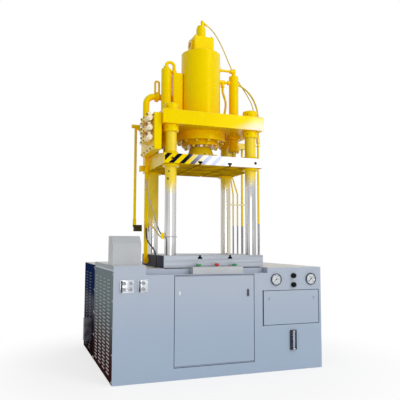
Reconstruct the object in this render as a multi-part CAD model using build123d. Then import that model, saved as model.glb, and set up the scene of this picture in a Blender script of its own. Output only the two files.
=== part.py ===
"""Four-column hydraulic press with a sheet-metal cabinet, in millimetres.

The origin is on the floor under the press axis.
X points to the right seen from the front, Y to the back, Z up.
"""

import math
from pathlib import Path

from build123d import *

# Press frame: bed, crown and the four columns that tie them together
column_dia = 100.0
column_pitch_x = 762.0
column_pitch_y = 586.0
bed_thread_dia = 90.0
crown_thread_dia = 95.0
thread_stub = 8.0
thread_chamfer = 4.0
plate_margin_x = 80.0
plate_margin_y = 87.0
plate_width = column_pitch_x + 2 * plate_margin_x
plate_depth = column_pitch_y + 2 * plate_margin_y
bed_top = 1000.0
bed_thickness = 103.0
daylight = 782.0
slide_thickness = 87.0
crown_gap = 261.0
crown_bottom = bed_top + daylight + slide_thickness + crown_gap
crown_thickness = 125.0
crown_margin_x = 97.5
crown_margin_y = 89.5
crown_width = column_pitch_x + 2 * crown_margin_x
crown_depth = column_pitch_y + 2 * crown_margin_y
plate_bevel = 4.0
nut_dia = 138.0
nut_height = 60.0
nut_bevel = 3.0
spanner_hole_dia = 14.0
spanner_hole_depth = 18.0
spanner_holes = 4
bed_bottom = bed_top - bed_thickness
slide_bottom = bed_top + daylight
slide_top = slide_bottom + slide_thickness
crown_top = crown_bottom + crown_thickness
plate_front = -plate_depth / 2
column_xs = (-column_pitch_x / 2, column_pitch_x / 2)
column_ys = (-column_pitch_y / 2, column_pitch_y / 2)
crown_left = -crown_width / 2
crown_right = crown_width / 2

# Tee slots of the bed and the slide
slot_offset = 140.0
slot_throat = 20.0
slot_throat_depth = 16.0
slot_head = 40.0
slot_head_depth = 16.0

# Clearances
bolt_gap = 0.5
running_gap = 0.1
seat_gap = 0.3
bore_gap = 1.0

# Slide details
bush_flange_dia = 150.0
bush_flange_thickness = 18.0
bush_barrel_dia = 124.0
bush_stand = 26.0
lift_hole_dia = 26.0
lift_hole_depth = 40.0
lift_hole_offset = 392.0
striker_thickness = 6.0
striker_rise = 84.0
striker_arm_y = 205.0
striker_arm_reach = 66.0
striker_arm_thickness = 10.0
striker_arm_height = 56.0

# Main cylinder and ram
cylinder_dia = 375.0
cylinder_bore = 250.0
cylinder_reach = 778.0
cylinder_straight_top = crown_bottom + cylinder_reach
cylinder_shoulder = 25.0
cylinder_top = cylinder_straight_top + cylinder_shoulder
cylinder_top_dia = 283.0
cylinder_cap_thickness = 80.0
cylinder_flange_dia = 477.0
cylinder_flange_height = 80.0
cylinder_port_dia = 80.0
gland_dia = 360.0
gland_height = 40.0
gland_spigot_height = 40.0
ram_dia = 200.0
ram_head_height = 120.0
ram_head_room = 40.0
ram_foot_dia = 258.0
ram_foot_lip_dia = 290.0
ram_foot_lip = 20.0
ram_foot_height = 56.0
ram_cone_height = 75.0
ram_flange_dia = 360.0
ram_flange_height = 40.0

# Valves on top of the main cylinder
prefill_width = 200.0
prefill_depth = 195.0
prefill_height = 131.0
prefill_bevel = 10.0
prefill_port_dia = 110.0
prefill_port_reach = 14.0
pilot_width = 113.0
pilot_base_height = 28.0
pilot_height = 140.0
pilot_neck_dia = 92.0
pilot_cap_dia = 74.0

# Kicker cylinders beside the main cylinder
kicker_offset = 345.0
kicker_dia = 94.0
kicker_bore = 70.0
kicker_reach_left = 606.0
kicker_top_left = crown_bottom + kicker_reach_left
kicker_reach_right = 611.0
kicker_top_right = crown_bottom + kicker_reach_right
kicker_cap = 45.0
kicker_flange_dia = 140.0
kicker_flange_height = 26.0
kicker_gland_drop = 145.0
kicker_gland_bottom = crown_bottom - kicker_gland_drop
kicker_gland_height = 52.0
kicker_gland_dia = 112.0
kicker_rod_dia = 45.0
kicker_piston_height = 60.0
kicker_piston_room = 60.0
kicker_foot_dia = 92.0
kicker_foot_height = 22.0
kicker_neck_dia = 40.0
kicker_neck_height = 71.0
kicker_neck_top = kicker_top_right + kicker_neck_height
boss_reach = 18.0

# Side block, loop pipe, feed pipe and link pipes
side_block_left = -287.0
side_block_width = 96.0
side_block_front = -40.0
side_block_depth = 190.0
side_block_drop = 36.0
side_block_top = kicker_top_left - side_block_drop
side_block_bevel = 8.0
loop_dia = 30.0
loop_span = 75.0
loop_rise = 68.0
loop_crest = kicker_top_left + loop_rise
loop_nut_dia = 46.0
loop_nut_height = 26.0
feed_dia = 60.0
feed_bend = 76.0
manifold_thickness = 67.0
feed_x = crown_left - manifold_thickness / 2
feed_y = 95.0
feed_rise = 355.0
feed_height = crown_bottom + feed_rise
feed_foot_dia = 64.0
feed_foot_height = 18.0
feed_joint_x = -425.0
feed_joint_dia = 95.0
feed_joint_thickness = 25.0
arch_dia = 20.0
arch_left = -427.0
arch_span = 38.0
arch_rise = 162.0
arch_top = feed_height + arch_rise
link_dia = 24.0
upper_link_drop = 22.0
upper_link_height = kicker_neck_top - upper_link_drop
lower_link_drop = 69.0
lower_link_height = kicker_top_right - lower_link_drop
tee_dia = 42.0
tee_length = 44.0
tee_drop = 30.0

# Valves on the left side of the crown
manifold_front = -340.0
manifold_back = 135.0
manifold_drop = 225.0
manifold_bottom = crown_bottom - manifold_drop
manifold_rise = 95.0
manifold_top = crown_bottom + manifold_rise
manifold_bevel = 6.0
valve_drops = (45.0, 130.0, 215.0)
valve_heights = tuple(manifold_top - drop for drop in valve_drops)
valve_body = 60.0
valve_middle_y = -170.0
coil_dia = 50.0
coil_length = 84.0
coil_pin_reach = 10.0
valve_trim = 4.0

# Hose fittings
fitting_hex = 30.0
pilot_stem_x = 14.0
pilot_stem_height = 58.0
pilot_exit_rise = 42.0
prefill_top = cylinder_top + prefill_height
pilot_top = prefill_top + pilot_height
pilot_exit_height = pilot_top + pilot_exit_rise
pilot_hose_drop = 25.403
pilot_hose_start = (58.0, 0.0, pilot_exit_height - pilot_hose_drop)
pilot_exit_dia = 24.0
stub_hex = 34.0
crown_elbow_dia = 26.0
crown_elbow_drop = 62.0
port_reach = 66.0
port_axis_height = 2690.0
port_slope = math.radians(26.565)

# Hose diameters and routes: a route is the hand-chosen run of a hose between its two fittings
bend_share = 0.45
pilot_hose_dia = 10.0
kicker_hose_dia = 16.0
side_hose_dia = 22.0
outer_pipe_offset = 32.5
kicker_hose_end = (crown_right + outer_pipe_offset, -197.0)
pilot_hose_route = [
    pilot_hose_start, (98, 0, 3197.503), (152, 6, 3148), (211, 18, 3070), (267, 30, 2975), (314, 40, 2880),
    (360, 42, 2795), (430, 42, 2690), (505, 36, 2586), (552, 18, 2490), (565, 0, 2395), (565, 0, 2310),
]
kicker_hose_route = [
    (404.032, 0, 2660.484), (444.032, 0, 2640.484), (482, -12, 2610), (514, -32, 2563), (537, -60, 2500),
    (549, -92, 2425),
    (548, -124, 2340), (534, -155, 2255), (*kicker_hose_end, 2175), (*kicker_hose_end, 2090),
]
signal_cable_dia = 10.0
return_line_dia = 12.0
drop_line_dia = 14.0
signal_cable_route = [
    (-487.5, 128, 1688), (-487.5, 128, 1630), (-486, 85, 1560), (-484, 22, 1490), (-483, -52, 1420),
    (-481, -118, 1355),
    (-476, -176, 1287), (-466, -222, 1222), (-452, -250, 1178), (-452, -288, 1178),
]
return_line_route = [
    (-487.5, 104, 1280), (-487.5, 54, 1280), (-486, -14, 1266), (-484, -86, 1250), (-478, -154, 1218),
    (-466, -208, 1178),
    (-452, -246, 1155), (-452, -288, 1155),
]
drop_line_route = [
    (-487.5, 128, 1243), (-487.5, 128, 1187), (-489, 88, 1132), (-489, 16, 1100), (-489, -58, 1078),
    (-488, -132, 1056),
    (-486, -192, 1018), (-484, -218, 950), (-484, -218, 892),
]
side_hose_route = [
    (227.5, 0, 2621), (227.5, 0, 2576), (240, -5, 2530), (255, -10, 2480), (256, -11, 2425), (243, -10, 2362),
    (243, -10, 2300),
]

# Pipes at the right and rear, and the tubes at the left
riser_offset = 57.5
riser_y = crown_depth / 2 + riser_offset
riser_xs = (475.0, 532.0, 582.0, 636.0)
riser_top_xs = (475.0, 503.0, 527.0, 636.0)
riser_dias = (20.0, 16.0, 16.0, 24.0)
riser_foot_drop = 57.0
riser_foot = bed_bottom - riser_foot_drop
riser_bend_low_drop = 510.0
riser_bend_low = crown_bottom - riser_bend_low_drop
riser_bend_high_drop = 340.0
riser_bend_high = crown_bottom - riser_bend_high_drop
riser_bend_radius = 80.0
riser_block_height = 60.0
riser_block_depth = 90.0
riser_block_drop = 25.0
riser_tab_reach = 120.0
riser_tab_depth = 20.0
outer_pipe_dia = 20.0
union_dia = 34.0
union_height = 40.0
clamp_rise = 510.0
clamp_height = bed_top + clamp_rise
clamp_thickness = 14.0
clamp_margin = 12.0
clamp_side = 6.0
bracket_width = 32.0
bracket_thickness = 8.0
bracket_setback = 60.0
bracket_drop = 110.0
bracket_foot = 40.0
collar_dia = 112.0
collar_rise = 150.0
collar_low = bed_top + collar_rise
collar_height = 12.0
anchor_reach = 81.0
anchor_left = column_xs[0] - anchor_reach
anchor_width = 26.0
anchor_thickness = 10.0
anchor_drop = 12.0
anchor_low = collar_low - anchor_drop
anchor_height = 54.0
stroke_tube_dia = 26.0
stroke_tube_offset = 73.5
stroke_tube_x = crown_left - stroke_tube_offset
stroke_tube_y = 345.0
stroke_tube_clear = 277.0
stroke_tube_bottom = bed_top + stroke_tube_clear
stroke_tube_rise = 113.0
stroke_tube_top = crown_bottom + stroke_tube_rise
stroke_tee_dia = 38.0
stroke_tee_width = 80.0
sensor_drop = 31.0
sensor_height = stroke_tube_bottom - sensor_drop
sensor_width = 70.0
sensor_depth = 34.0
sensor_tall = 62.0
sensor_back = 8.0
stroke_collar_dia = 34.0
stroke_collar_below = 20.0
stroke_collar_above = 60.0
stroke_plate_thickness = 12.0
stroke_plate_width = 60.0
stroke_plate_height = 70.0
switch_bar_offset = 44.0
switch_bar_left = -plate_width / 2 - switch_bar_offset
switch_bar_width = 35.0
switch_bar_thickness = 12.0
switch_bar_y = 140.0
switch_bar_clear = 18.0
switch_bar_bottom = bed_bottom + switch_bar_clear
switch_lug = 30.0
switch_lug_thickness = 12.0
switch_lug_margin = 9.0
switch_spacer_lift = 10.0
switch_spacer_height = 40.0
switch_spacer_margin = 4.0
switch_rises = (255.0, 700.0)
switch_heights = tuple(bed_top + rise for rise in switch_rises)
switch_tall = 50.0
switch_deep = 24.0
switch_gland_dia = 18.0
switch_gland_reach = 12.0

# Ejector under the bed
ejector_dia = 120.0
ejector_bore = 80.0
ejector_length = 340.0
ejector_flange_dia = 200.0
ejector_flange_height = 26.0
ejector_rod_dia = 50.0
ejector_piston_height = 40.0
ejector_below_bed = 8.0

# Pedestal
pedestal_inset_x = 11.0
pedestal_inset_y = 10.0
pedestal_width = plate_width - 2 * pedestal_inset_x
pedestal_depth = plate_depth - 2 * pedestal_inset_y
pedestal_plate = 32.0
cheek_offset = 258.0
cheek_thickness = 30.0
cheek_depth = 700.0
web_offset = 325.0
web_thickness = 25.0
window_width = 300.0
window_height = 300.0
window_radius = 60.0
window_middle = 470.0

# Cabinet
left_bay = 448.0
right_bay = 542.0
front_bay = 100.0
back_bay = 850.0
cabinet_left = -pedestal_width / 2 - left_bay
cabinet_right = pedestal_width / 2 + right_bay
cabinet_front = plate_front - front_bay
cabinet_back = pedestal_depth / 2 + back_bay
cabinet_drop = 5.0
cabinet_height = bed_bottom - cabinet_drop
skin = 3.0
angle_leg = 40.0
angle_wall = 4.0
rail_inset_front = 70.0
rail_inset_back = 50.0
motor_rail_offset = 190.0
rear_rail_inset = 220.0
floor_rail_ys = (rail_inset_front - pedestal_depth / 2, pedestal_depth / 2 - rail_inset_back,
                 pedestal_depth / 2 + motor_rail_offset, cabinet_back - rear_rail_inset)
lid_width = 261.0
lid_depth = 980.0
lid_height = 30.0
notch_left = cabinet_left + lid_width
well_gap = 6.0
well_half_width = pedestal_width / 2 + well_gap
notch_inset = 3.0
notch_right = well_half_width - notch_inset
ledge_drop = 46.0
ledge_top = cabinet_height - ledge_drop
door_left = -399.0
door_right = 325.0
door_bottom = 105.0
door_top_drop = 14.0
door_top = ledge_top - door_top_drop
door_gap = 3.0
door_depth = 20.0
door_post_offset = 60.0
corner_post_setback = 20.0
hinge_inset_x = 8.0
hinge_inset_y = 6.0
hinge_pin_dia = 8.0
hinge_pin_length = 10.0
hinge_lug = 22.0
hinge_lug_thickness = 6.0
lock_inset = 61.0
lock_x = door_right - lock_inset
lock_drop = 126.0
lock_z = door_top - lock_drop
lock_shaft_dia = 14.0
lock_lever_length = 62.0
lock_lever_width = 15.0
lock_lever_thickness = 9.0
lock_cam_length = 46.0
lock_cam_depth = 12.0
lock_cam_thickness = 4.0
lock_cam_round = 4.0
hatch_offset = 87.0
hatch_left = door_right + hatch_offset
hatch_inset = 26.0
hatch_right = cabinet_right - hatch_inset
hatch_drop = 198.0
hatch_top = cabinet_height - hatch_drop
hatch_height = 302.0
hatch_bottom = hatch_top - hatch_height
hatch_depth = 14.0
pull_inset_left = 59.0
pull_inset_right = 46.0
hatch_pull_xs = (hatch_left + pull_inset_left, hatch_right - pull_inset_right)
pull_drop = 72.0
hatch_pull_z = hatch_top - pull_drop
hatch_pull_dia = 16.0
hatch_pull_height = 14.0

# Vent panels: rows and columns of pressed louvres
louvre_width = 120.0
louvre_slot = 5.0
louvre_hood = 13.0
louvre_proud = 7.0
louvre_row_pitch = 29.5
louvre_rows = 26
louvre_first_z = 55.0
front_vent_drop = 18.0
front_vent_top = cabinet_height - front_vent_drop
vent_seam_y = cabinet_front + lid_depth
front_louvre_reaches = (180.0, 385.0, 590.0, 800.0)
front_louvre_ys = tuple(cabinet_front + reach for reach in front_louvre_reaches)
rear_louvre_offset = 270.0
rear_louvre_inset = 220.0
rear_louvre_ys = (vent_seam_y + rear_louvre_offset, cabinet_back - rear_louvre_inset)

# Instruments and controls on the front
gauge_inset_left = 124.0
gauge_inset_right = 79.0
gauge_xs = (hatch_left + gauge_inset_left, hatch_right - gauge_inset_right)
gauge_drop = 105.0
gauge_z = cabinet_height - gauge_drop
gauge_bezel_dia = 104.0
gauge_case_dia = 88.0
gauge_case_depth = 42.0
gauge_bezel_height = 13.0
gauge_dial_dia = 92.0
gauge_dial_height = 5.0
gauge_spindle_dia = 4.0
needle_length = 36.0
needle_tail = 12.0
needle_hub_dia = 12.0
needle_width = 4.0
needle_zero = 225.0
needle_thickness = 1.5
needle_hub_height = 2.5
knob_offset = 4.5
knob_x = sum(gauge_xs) / 2 - knob_offset
upper_knob_rise = 32.0
lower_knob_drop = 48.0
knob_zs = (gauge_z + upper_knob_rise, gauge_z - lower_knob_drop)
knob_dia = 44.0
knob_height = 26.0
knob_base_height = 8.0
knob_shaft_dia = 12.0
knob_flutes = 10
knob_flute_dia = 7.0
level_offset = 12.5
level_x = sum(gauge_xs) / 2 - level_offset
level_drop = 133.0
level_z = hatch_bottom - level_drop
level_width = 58.0
level_height = 168.0
level_depth = 20.0
level_window_width = 26.0
level_window_height = 126.0
level_stub_dia = 16.0
bar_x = -6.5
bar_length = 457.0
bar_depth = 74.0
bar_height = 60.0
bar_setback = 44.0
bar_y = cabinet_front + bar_setback
bar_round = 18.0
button_offset = 165.0
button_head_dia = 44.0
button_head_height = 14.0
button_stem_dia = 20.0
button_stem_length = 24.0
button_stand = 8.0
button_hole_depth = 32.0
stop_head_dia = 38.0
stop_head_height = 18.0
control_inset = 5.0
control_left = cabinet_left + control_inset
control_width = 233.0
control_setback = 75.0
control_front = cabinet_front + control_setback
control_depth = 205.0
control_height = 238.0
control_slope = 62.0
control_round = 6.0
inlet_offset = 165.0
inlet_y = vent_seam_y + inlet_offset
inlet_depth = 80.0
inlet_bottom = 150.0
inlet_height = 215.0
inlet_proud = 74.0
inlet_gland_dia = 42.0
inlet_gland_height = 30.0

# Oil tank, motor and pump inside the cabinet
tank_overlap = 30.0
tank_left = pedestal_width / 2 - tank_overlap
tank_margin = 47.0
tank_right = cabinet_right - tank_margin
tank_setback = 18.0
tank_front = cabinet_front + tank_setback
tank_rear_room = 320.0
tank_back = cabinet_back - tank_rear_room
tank_height = 330.0
tank_wall = 5.0
tank_filler_dia = 90.0
tank_filler_height = 40.0
tank_filler_y = -300.0
motor_margin = 38.0
motor_foot_width = 254.0
motor_x = cabinet_left + skin + angle_leg + motor_margin + motor_foot_width / 2
motor_overlap = 120.0
motor_front = pedestal_depth / 2 - motor_overlap
motor_length = 400.0
motor_dia = 236.0
motor_axis_height = 160.0
motor_fins = 24
motor_fin_height = 12.0
motor_fin_thickness = 4.0
motor_cowl = 60.0
motor_end_plate = 14.0
terminal_box = 110.0
motor_foot_length = 50.0
motor_foot_height = 18.0
motor_foot_setback = 50.0
motor_foot_neck = 160.0
bell_dia = 200.0
bell_length = 110.0
bell_wall = 12.0
bell_window = 70.0
pump_dia = 130.0
pump_length = 170.0
hub_dia = 90.0
hub_length = 70.0
hub_groove = 4.0
motor_shaft_dia = 38.0
motor_shaft_reach = 40.0
pump_shaft_dia = 28.0
pump_shaft_reach = 40.0
pump_port_dia = 50.0
pump_port_reach = 20.0
shaft_entry = 30.0

# Heights and faces worked out from the sizes above
flange_bottom = crown_bottom - cylinder_flange_height
gland_bottom = flange_bottom - gland_height
bore_top = cylinder_top - cylinder_cap_thickness
sheet_top = cabinet_height - skin
lid_top = cabinet_height + lid_height
manifold_left = crown_left - manifold_thickness
bar_top = ledge_top + bar_height
motor_height = angle_leg + motor_axis_height


def span(x0, x1, y0, y1, z0, z1):
    """Square-edged body between six faces."""
    return Pos((x0 + x1) / 2, (y0 + y1) / 2, (z0 + z1) / 2) * Box(x1 - x0, y1 - y0, z1 - z0)


def rod(dia, bottom, top, x=0.0, y=0.0):
    """Upright round bar between two heights."""
    return Pos(x, y, (bottom + top) / 2) * Cylinder(dia / 2, top - bottom)


def lying(dia, start, end):
    """Round bar from one point to another."""
    way = Vector(*end) - Vector(*start)
    return extrude(Plane(origin=start, z_dir=way) * Circle(dia / 2), way.length)


def turned(*outline):
    """Body turned about the upright axis from its half section, given as radius and height."""
    return revolve(Plane.XZ * make_face(Polyline(*outline, close=True)), Axis.Z)


def hexagon(across, bottom, top, x=0.0, y=0.0):
    """Upright hexagon bar, sized across its flats."""
    prism = extrude(RegularPolygon(across / 2, 6, major_radius=False), top - bottom)
    return Pos(x, y, bottom) * prism


def pane(x0, x1, z0, z1):
    """Rectangle of a sheet's flat pattern."""
    return Pos((x0 + x1) / 2, (z0 + z1) / 2) * Rectangle(x1 - x0, z1 - z0)


def facing(x, z, body):
    """Put a body turned about Z on the front panel, its Z pointing out to the front."""
    return Pos(x, cabinet_front, z) * Rot(90, 0, 0) * body


def angle_bar(start, along, up, length):
    """Rolled angle: one leg along up, the other square to it, for a length along its run."""
    section = Polyline((0, 0), (angle_leg, 0), (angle_leg, angle_wall), (angle_wall, angle_wall),
                       (angle_wall, angle_leg), (0, angle_leg), close=True)
    plane = Plane(origin=start, z_dir=along, x_dir=up)
    return extrude(plane * make_face(section), length)


def group(pieces):
    """Several solids kept as one node."""
    return Compound(children=list(pieces))


def tee_slot(x, face, inward):
    """Cutter for a tee slot that runs front to back, opening at a face."""
    throat_end = face + inward * slot_throat_depth
    head_end = throat_end + inward * slot_head_depth
    half = plate_depth / 2 + bore_gap
    throat = span(x - slot_throat / 2, x + slot_throat / 2, -half, half,
                  min(face - inward, throat_end), max(face - inward, throat_end))
    head = span(x - slot_head / 2, x + slot_head / 2, -half, half, min(throat_end, head_end),
                max(throat_end, head_end))
    return throat + head


def at_columns(body):
    """Four copies of a body, one on each column's axis."""
    return [Pos(x, y, 0) * body for x in column_xs for y in column_ys]


def pedestal():
    """Welded pedestal: floor plate, two cheeks and two webs with windows under the bed."""
    frame = span(-pedestal_width / 2, pedestal_width / 2, -pedestal_depth / 2, pedestal_depth / 2, 0,
                 pedestal_plate)
    for side in (-1, 1):
        cheek_x = side * cheek_offset
        frame += span(cheek_x - cheek_thickness / 2, cheek_x + cheek_thickness / 2, -cheek_depth / 2,
                      cheek_depth / 2,
                      pedestal_plate, bed_bottom)
        web_y = side * web_offset
        reach = cheek_offset - cheek_thickness / 2
        frame += span(-reach, reach, web_y - web_thickness / 2, web_y + web_thickness / 2, pedestal_plate,
                      bed_bottom)
    window = RectangleRounded(window_width, window_height, window_radius)
    through_y = extrude(Plane.XZ * (Pos(0, window_middle) * window), pedestal_depth, both=True)
    through_x = extrude(Plane.YZ * (Pos(0, window_middle) * window), pedestal_width, both=True)
    return frame - through_y - through_x


def bed():
    """Bed plate with its tee slots, column holes and ejector hole."""
    plate = span(-plate_width / 2, plate_width / 2, -plate_depth / 2, plate_depth / 2, bed_bottom, bed_top)
    plate = chamfer(plate.edges().group_by(Axis.Z)[-1], plate_bevel)
    plate -= at_columns(rod(bed_thread_dia + bore_gap, bed_bottom - 1, bed_top + 1))
    plate -= rod(ejector_rod_dia + 2 * bore_gap, bed_bottom - 1, bed_top + 1)
    for x in (-slot_offset, slot_offset):
        plate -= tee_slot(x, bed_top, -1)
    return plate


def column():
    """Turned tie column: threaded ends and a plain guide length that shoulders on the bed."""
    low = bed_bottom - nut_height - thread_stub
    high = crown_top + nut_height + thread_stub
    neck = crown_bottom - nut_height
    bed_radius = bed_thread_dia / 2
    crown_radius = crown_thread_dia / 2
    return turned((0, low), (bed_radius - thread_chamfer, low), (bed_radius, low + thread_chamfer),
                  (bed_radius, bed_top), (column_dia / 2, bed_top), (column_dia / 2, neck),
                  (crown_radius, neck),
                  (crown_radius, high - thread_chamfer), (crown_radius - thread_chamfer, high), (0, high))


def round_nut(bottom, thread_dia):
    """Round column nut with bevelled rims and radial spanner holes."""
    radius = nut_dia / 2
    bore = thread_dia / 2 + running_gap
    top = bottom + nut_height
    nut = turned((bore, bottom), (radius - nut_bevel, bottom), (radius, bottom + nut_bevel),
                 (radius, top - nut_bevel), (radius - nut_bevel, top), (bore, top))
    hole = Rot(0, 90, 0) * Cylinder(spanner_hole_dia / 2, 2 * spanner_hole_depth)
    middle = Pos(0, 0, bottom + nut_height / 2)
    for turn in range(spanner_holes):
        angle = 360 / spanner_holes * (turn + 0.5)
        nut -= middle * Rot(0, 0, angle) * Pos(radius, 0, 0) * hole
    return nut


def column_nuts():
    """Twelve nuts: under the bed, and under and over the crown."""
    levels = ((bed_bottom - nut_height, bed_thread_dia), (crown_bottom - nut_height, crown_thread_dia),
              (crown_top, crown_thread_dia))
    nuts = []
    for bottom, thread_dia in levels:
        nuts += at_columns(round_nut(bottom, thread_dia))
    return group(nuts)


def crown():
    """Crown plate with holes for the columns, the main cylinder and the kicker cylinders."""
    plate = span(crown_left, crown_right, -crown_depth / 2, crown_depth / 2, crown_bottom, crown_top)
    plate = chamfer(plate.edges().group_by(Axis.Z)[-1], plate_bevel)
    plate -= at_columns(rod(crown_thread_dia + bore_gap, crown_bottom - 1, crown_top + 1))
    plate -= rod(cylinder_dia + 2 * bolt_gap, crown_bottom - 1, crown_top + 1)
    for side in (-1, 1):
        plate -= rod(kicker_dia + 2 * bolt_gap, crown_bottom - 1, crown_top + 1, side * kicker_offset)
    return plate


def slide():
    """Moving slide plate with bush bores, tee slots and lifting holes."""
    plate = span(-plate_width / 2, plate_width / 2, -plate_depth / 2, plate_depth / 2, slide_bottom,
                 slide_top)
    plate = chamfer(plate.edges().group_by(Axis.Z)[0], plate_bevel)
    plate -= at_columns(rod(bush_barrel_dia + bore_gap, slide_bottom - 1, slide_top + 1))
    for x in (-slot_offset, slot_offset):
        plate -= tee_slot(x, slide_bottom, 1)
    middle = (slide_bottom + slide_top) / 2
    for x in (-lift_hole_offset, lift_hole_offset):
        for y in (plate_front, -plate_front):
            hole = Rot(90, 0, 0) * Cylinder(lift_hole_dia / 2, 2 * lift_hole_depth)
            plate -= Pos(x, y, middle) * hole
    return plate


def guide_bushes():
    """Four flanged guide bushes that run on the columns."""
    inner = column_dia / 2 + running_gap
    barrel = bush_barrel_dia / 2
    flange = bush_flange_dia / 2
    low = slide_bottom - bush_flange_thickness
    high = slide_top + bush_stand
    bush = turned((inner, low), (flange - nut_bevel, low), (flange, low + nut_bevel), (flange, slide_bottom),
                  (barrel, slide_bottom), (barrel, high - nut_bevel), (barrel - nut_bevel, high),
                  (inner, high))
    return group(at_columns(bush))


def striker_plate():
    """Side plate of the slide with an arm that reaches out past the switch bar."""
    low = slide_bottom
    outline = Polyline((plate_front, low), (-plate_front, low), (-plate_front, slide_top + striker_rise),
                       (-plate_front - striker_rise, slide_top + striker_rise), (plate_front, slide_top),
                       close=True)
    outer = -plate_width / 2 - striker_thickness
    plate = extrude(Plane.YZ.offset(-plate_width / 2) * make_face(outline), -striker_thickness)
    arm = span(outer - striker_arm_reach, outer, striker_arm_y, striker_arm_y + striker_arm_thickness,
               low, low + striker_arm_height)
    foot = span(outer - striker_arm_reach, outer - striker_arm_reach + striker_arm_thickness, striker_arm_y,
                striker_arm_y + striker_arm_height, low, low + striker_arm_height)
    return plate + arm + foot


def main_ram():
    """Plunger with its guide head above and a lipped, coned foot below."""
    radius = ram_dia / 2
    head = cylinder_bore / 2 - running_gap
    head_top = bore_top - ram_head_room
    head_bottom = head_top - ram_head_height
    foot_top = slide_top + ram_foot_height
    return turned((0, slide_top), (ram_foot_lip_dia / 2, slide_top),
                  (ram_foot_lip_dia / 2, slide_top + ram_foot_lip),
                  (ram_foot_dia / 2, slide_top + ram_foot_lip), (ram_foot_dia / 2, foot_top),
                  (radius, foot_top + ram_cone_height), (radius, head_bottom), (head, head_bottom),
                  (head, head_top),
                  (0, head_top))


def ram_flange():
    """Ring bolted to the slide that holds the ram's lipped foot."""
    low = slide_top
    lip = slide_top + ram_foot_lip + seat_gap
    high = slide_top + ram_flange_height
    wide = ram_foot_lip_dia / 2 + bolt_gap
    narrow = ram_foot_dia / 2 + bolt_gap
    outer = ram_flange_dia / 2
    return turned((wide, low), (outer, low), (outer, high - nut_bevel), (outer - nut_bevel, high),
                  (narrow, high),
                  (narrow, lip), (wide, lip))


def main_cylinder():
    """Main cylinder: barrel through the crown, a flange under it, a bored cap and two side bosses."""
    radius = cylinder_dia / 2
    bore = cylinder_bore / 2
    body = turned((bore, flange_bottom), (cylinder_flange_dia / 2 - nut_bevel, flange_bottom),
                  (cylinder_flange_dia / 2, flange_bottom + nut_bevel),
                  (cylinder_flange_dia / 2, crown_bottom),
                  (radius, crown_bottom), (radius, cylinder_straight_top),
                  (cylinder_top_dia / 2, cylinder_top),
                  (cylinder_port_dia / 2, cylinder_top), (cylinder_port_dia / 2, bore_top), (bore, bore_top))
    inner = (radius + bore) / 2
    for height, dia in ((upper_link_height, loop_nut_dia), (lower_link_height, tee_dia + nut_bevel)):
        body += lying(dia, (inner, 0, height), (radius + boss_reach, 0, height))
    return body


def gland_flange():
    """Gland ring that guides the ram and closes the cylinder from below."""
    inner = ram_dia / 2 + running_gap
    spigot = cylinder_bore / 2 - running_gap
    outer = gland_dia / 2
    return turned((inner, gland_bottom), (outer - nut_bevel, gland_bottom), (outer, gland_bottom + nut_bevel),
                  (outer, flange_bottom), (spigot, flange_bottom),
                  (spigot, flange_bottom + gland_spigot_height),
                  (inner, flange_bottom + gland_spigot_height))


def prefill_block():
    """Machined valve block on the cylinder's cap, with a round port flange on its left."""
    block = span(-prefill_width / 2, prefill_width / 2, -prefill_depth / 2, prefill_depth / 2, cylinder_top,
                 prefill_top)
    block = chamfer(block.edges().filter_by(Axis.Z), prefill_bevel)
    middle = (cylinder_top + prefill_top) / 2
    block += lying(prefill_port_dia, (0, 0, middle), (-prefill_width / 2 - prefill_port_reach, 0, middle))
    block -= lying(prefill_port_dia / 2, (0, 0, middle), (-prefill_width, 0, middle))
    return block - rod(cylinder_port_dia, cylinder_top - 1, middle)


def pilot_valve():
    """Pilot valve: eight-sided base, a turned neck and a cap."""
    base_top = prefill_top + pilot_base_height
    octagon = RegularPolygon(pilot_width / 2, 8, major_radius=False, rotation=22.5)
    base = Pos(0, 0, prefill_top) * extrude(octagon, pilot_base_height)
    neck = pilot_neck_dia / 2
    cap = pilot_cap_dia / 2
    shoulder = pilot_top - pilot_base_height
    stack = turned((0, base_top), (neck, base_top), (neck, shoulder), (cap, shoulder + plate_bevel),
                   (cap, pilot_top - plate_bevel), (cap - plate_bevel, pilot_top), (0, pilot_top))
    return base + stack


def kicker_cylinder(x, top):
    """Kicker cylinder: barrel, bottom gland and a flange under the crown."""
    outer = kicker_dia / 2
    bore = kicker_bore / 2
    rod_bore = kicker_rod_dia / 2 + running_gap
    gland = kicker_gland_dia / 2
    low = kicker_gland_bottom
    gland_top = low + kicker_gland_height
    flange = kicker_flange_dia / 2
    flange_low = crown_bottom - kicker_flange_height
    body = turned((rod_bore, low), (gland - nut_bevel, low), (gland, low + nut_bevel), (gland, gland_top),
                  (outer, gland_top), (outer, flange_low), (flange, flange_low), (flange, crown_bottom),
                  (outer, crown_bottom), (outer, top - plate_bevel), (outer - plate_bevel, top), (0, top),
                  (0, top - kicker_cap), (bore, top - kicker_cap), (bore, gland_top), (rod_bore, gland_top))
    return Pos(x, 0, 0) * body


def kicker_cylinder_right():
    """Right kicker cylinder with its neck, the two link bosses and the sloping hose port."""
    body = kicker_cylinder(kicker_offset, kicker_top_right)
    wall = (kicker_dia + kicker_bore) / 4
    neck = kicker_neck_dia / 2
    body += rod(kicker_neck_dia, kicker_top_right, kicker_neck_top, kicker_offset)
    near = kicker_offset - neck - boss_reach
    body += lying(loop_nut_dia - plate_bevel, (kicker_offset, 0, upper_link_height),
                  (near, 0, upper_link_height))
    far = kicker_offset - kicker_dia / 2 - boss_reach
    body += lying(tee_dia, (kicker_offset - wall, 0, lower_link_height), (far, 0, lower_link_height))
    run = Vector(math.cos(port_slope), 0, -math.sin(port_slope))
    axis_point = Vector(kicker_offset, 0, port_axis_height)
    return body + lying(fitting_hex, axis_point + run * wall, axis_point + run * port_reach)


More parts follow.
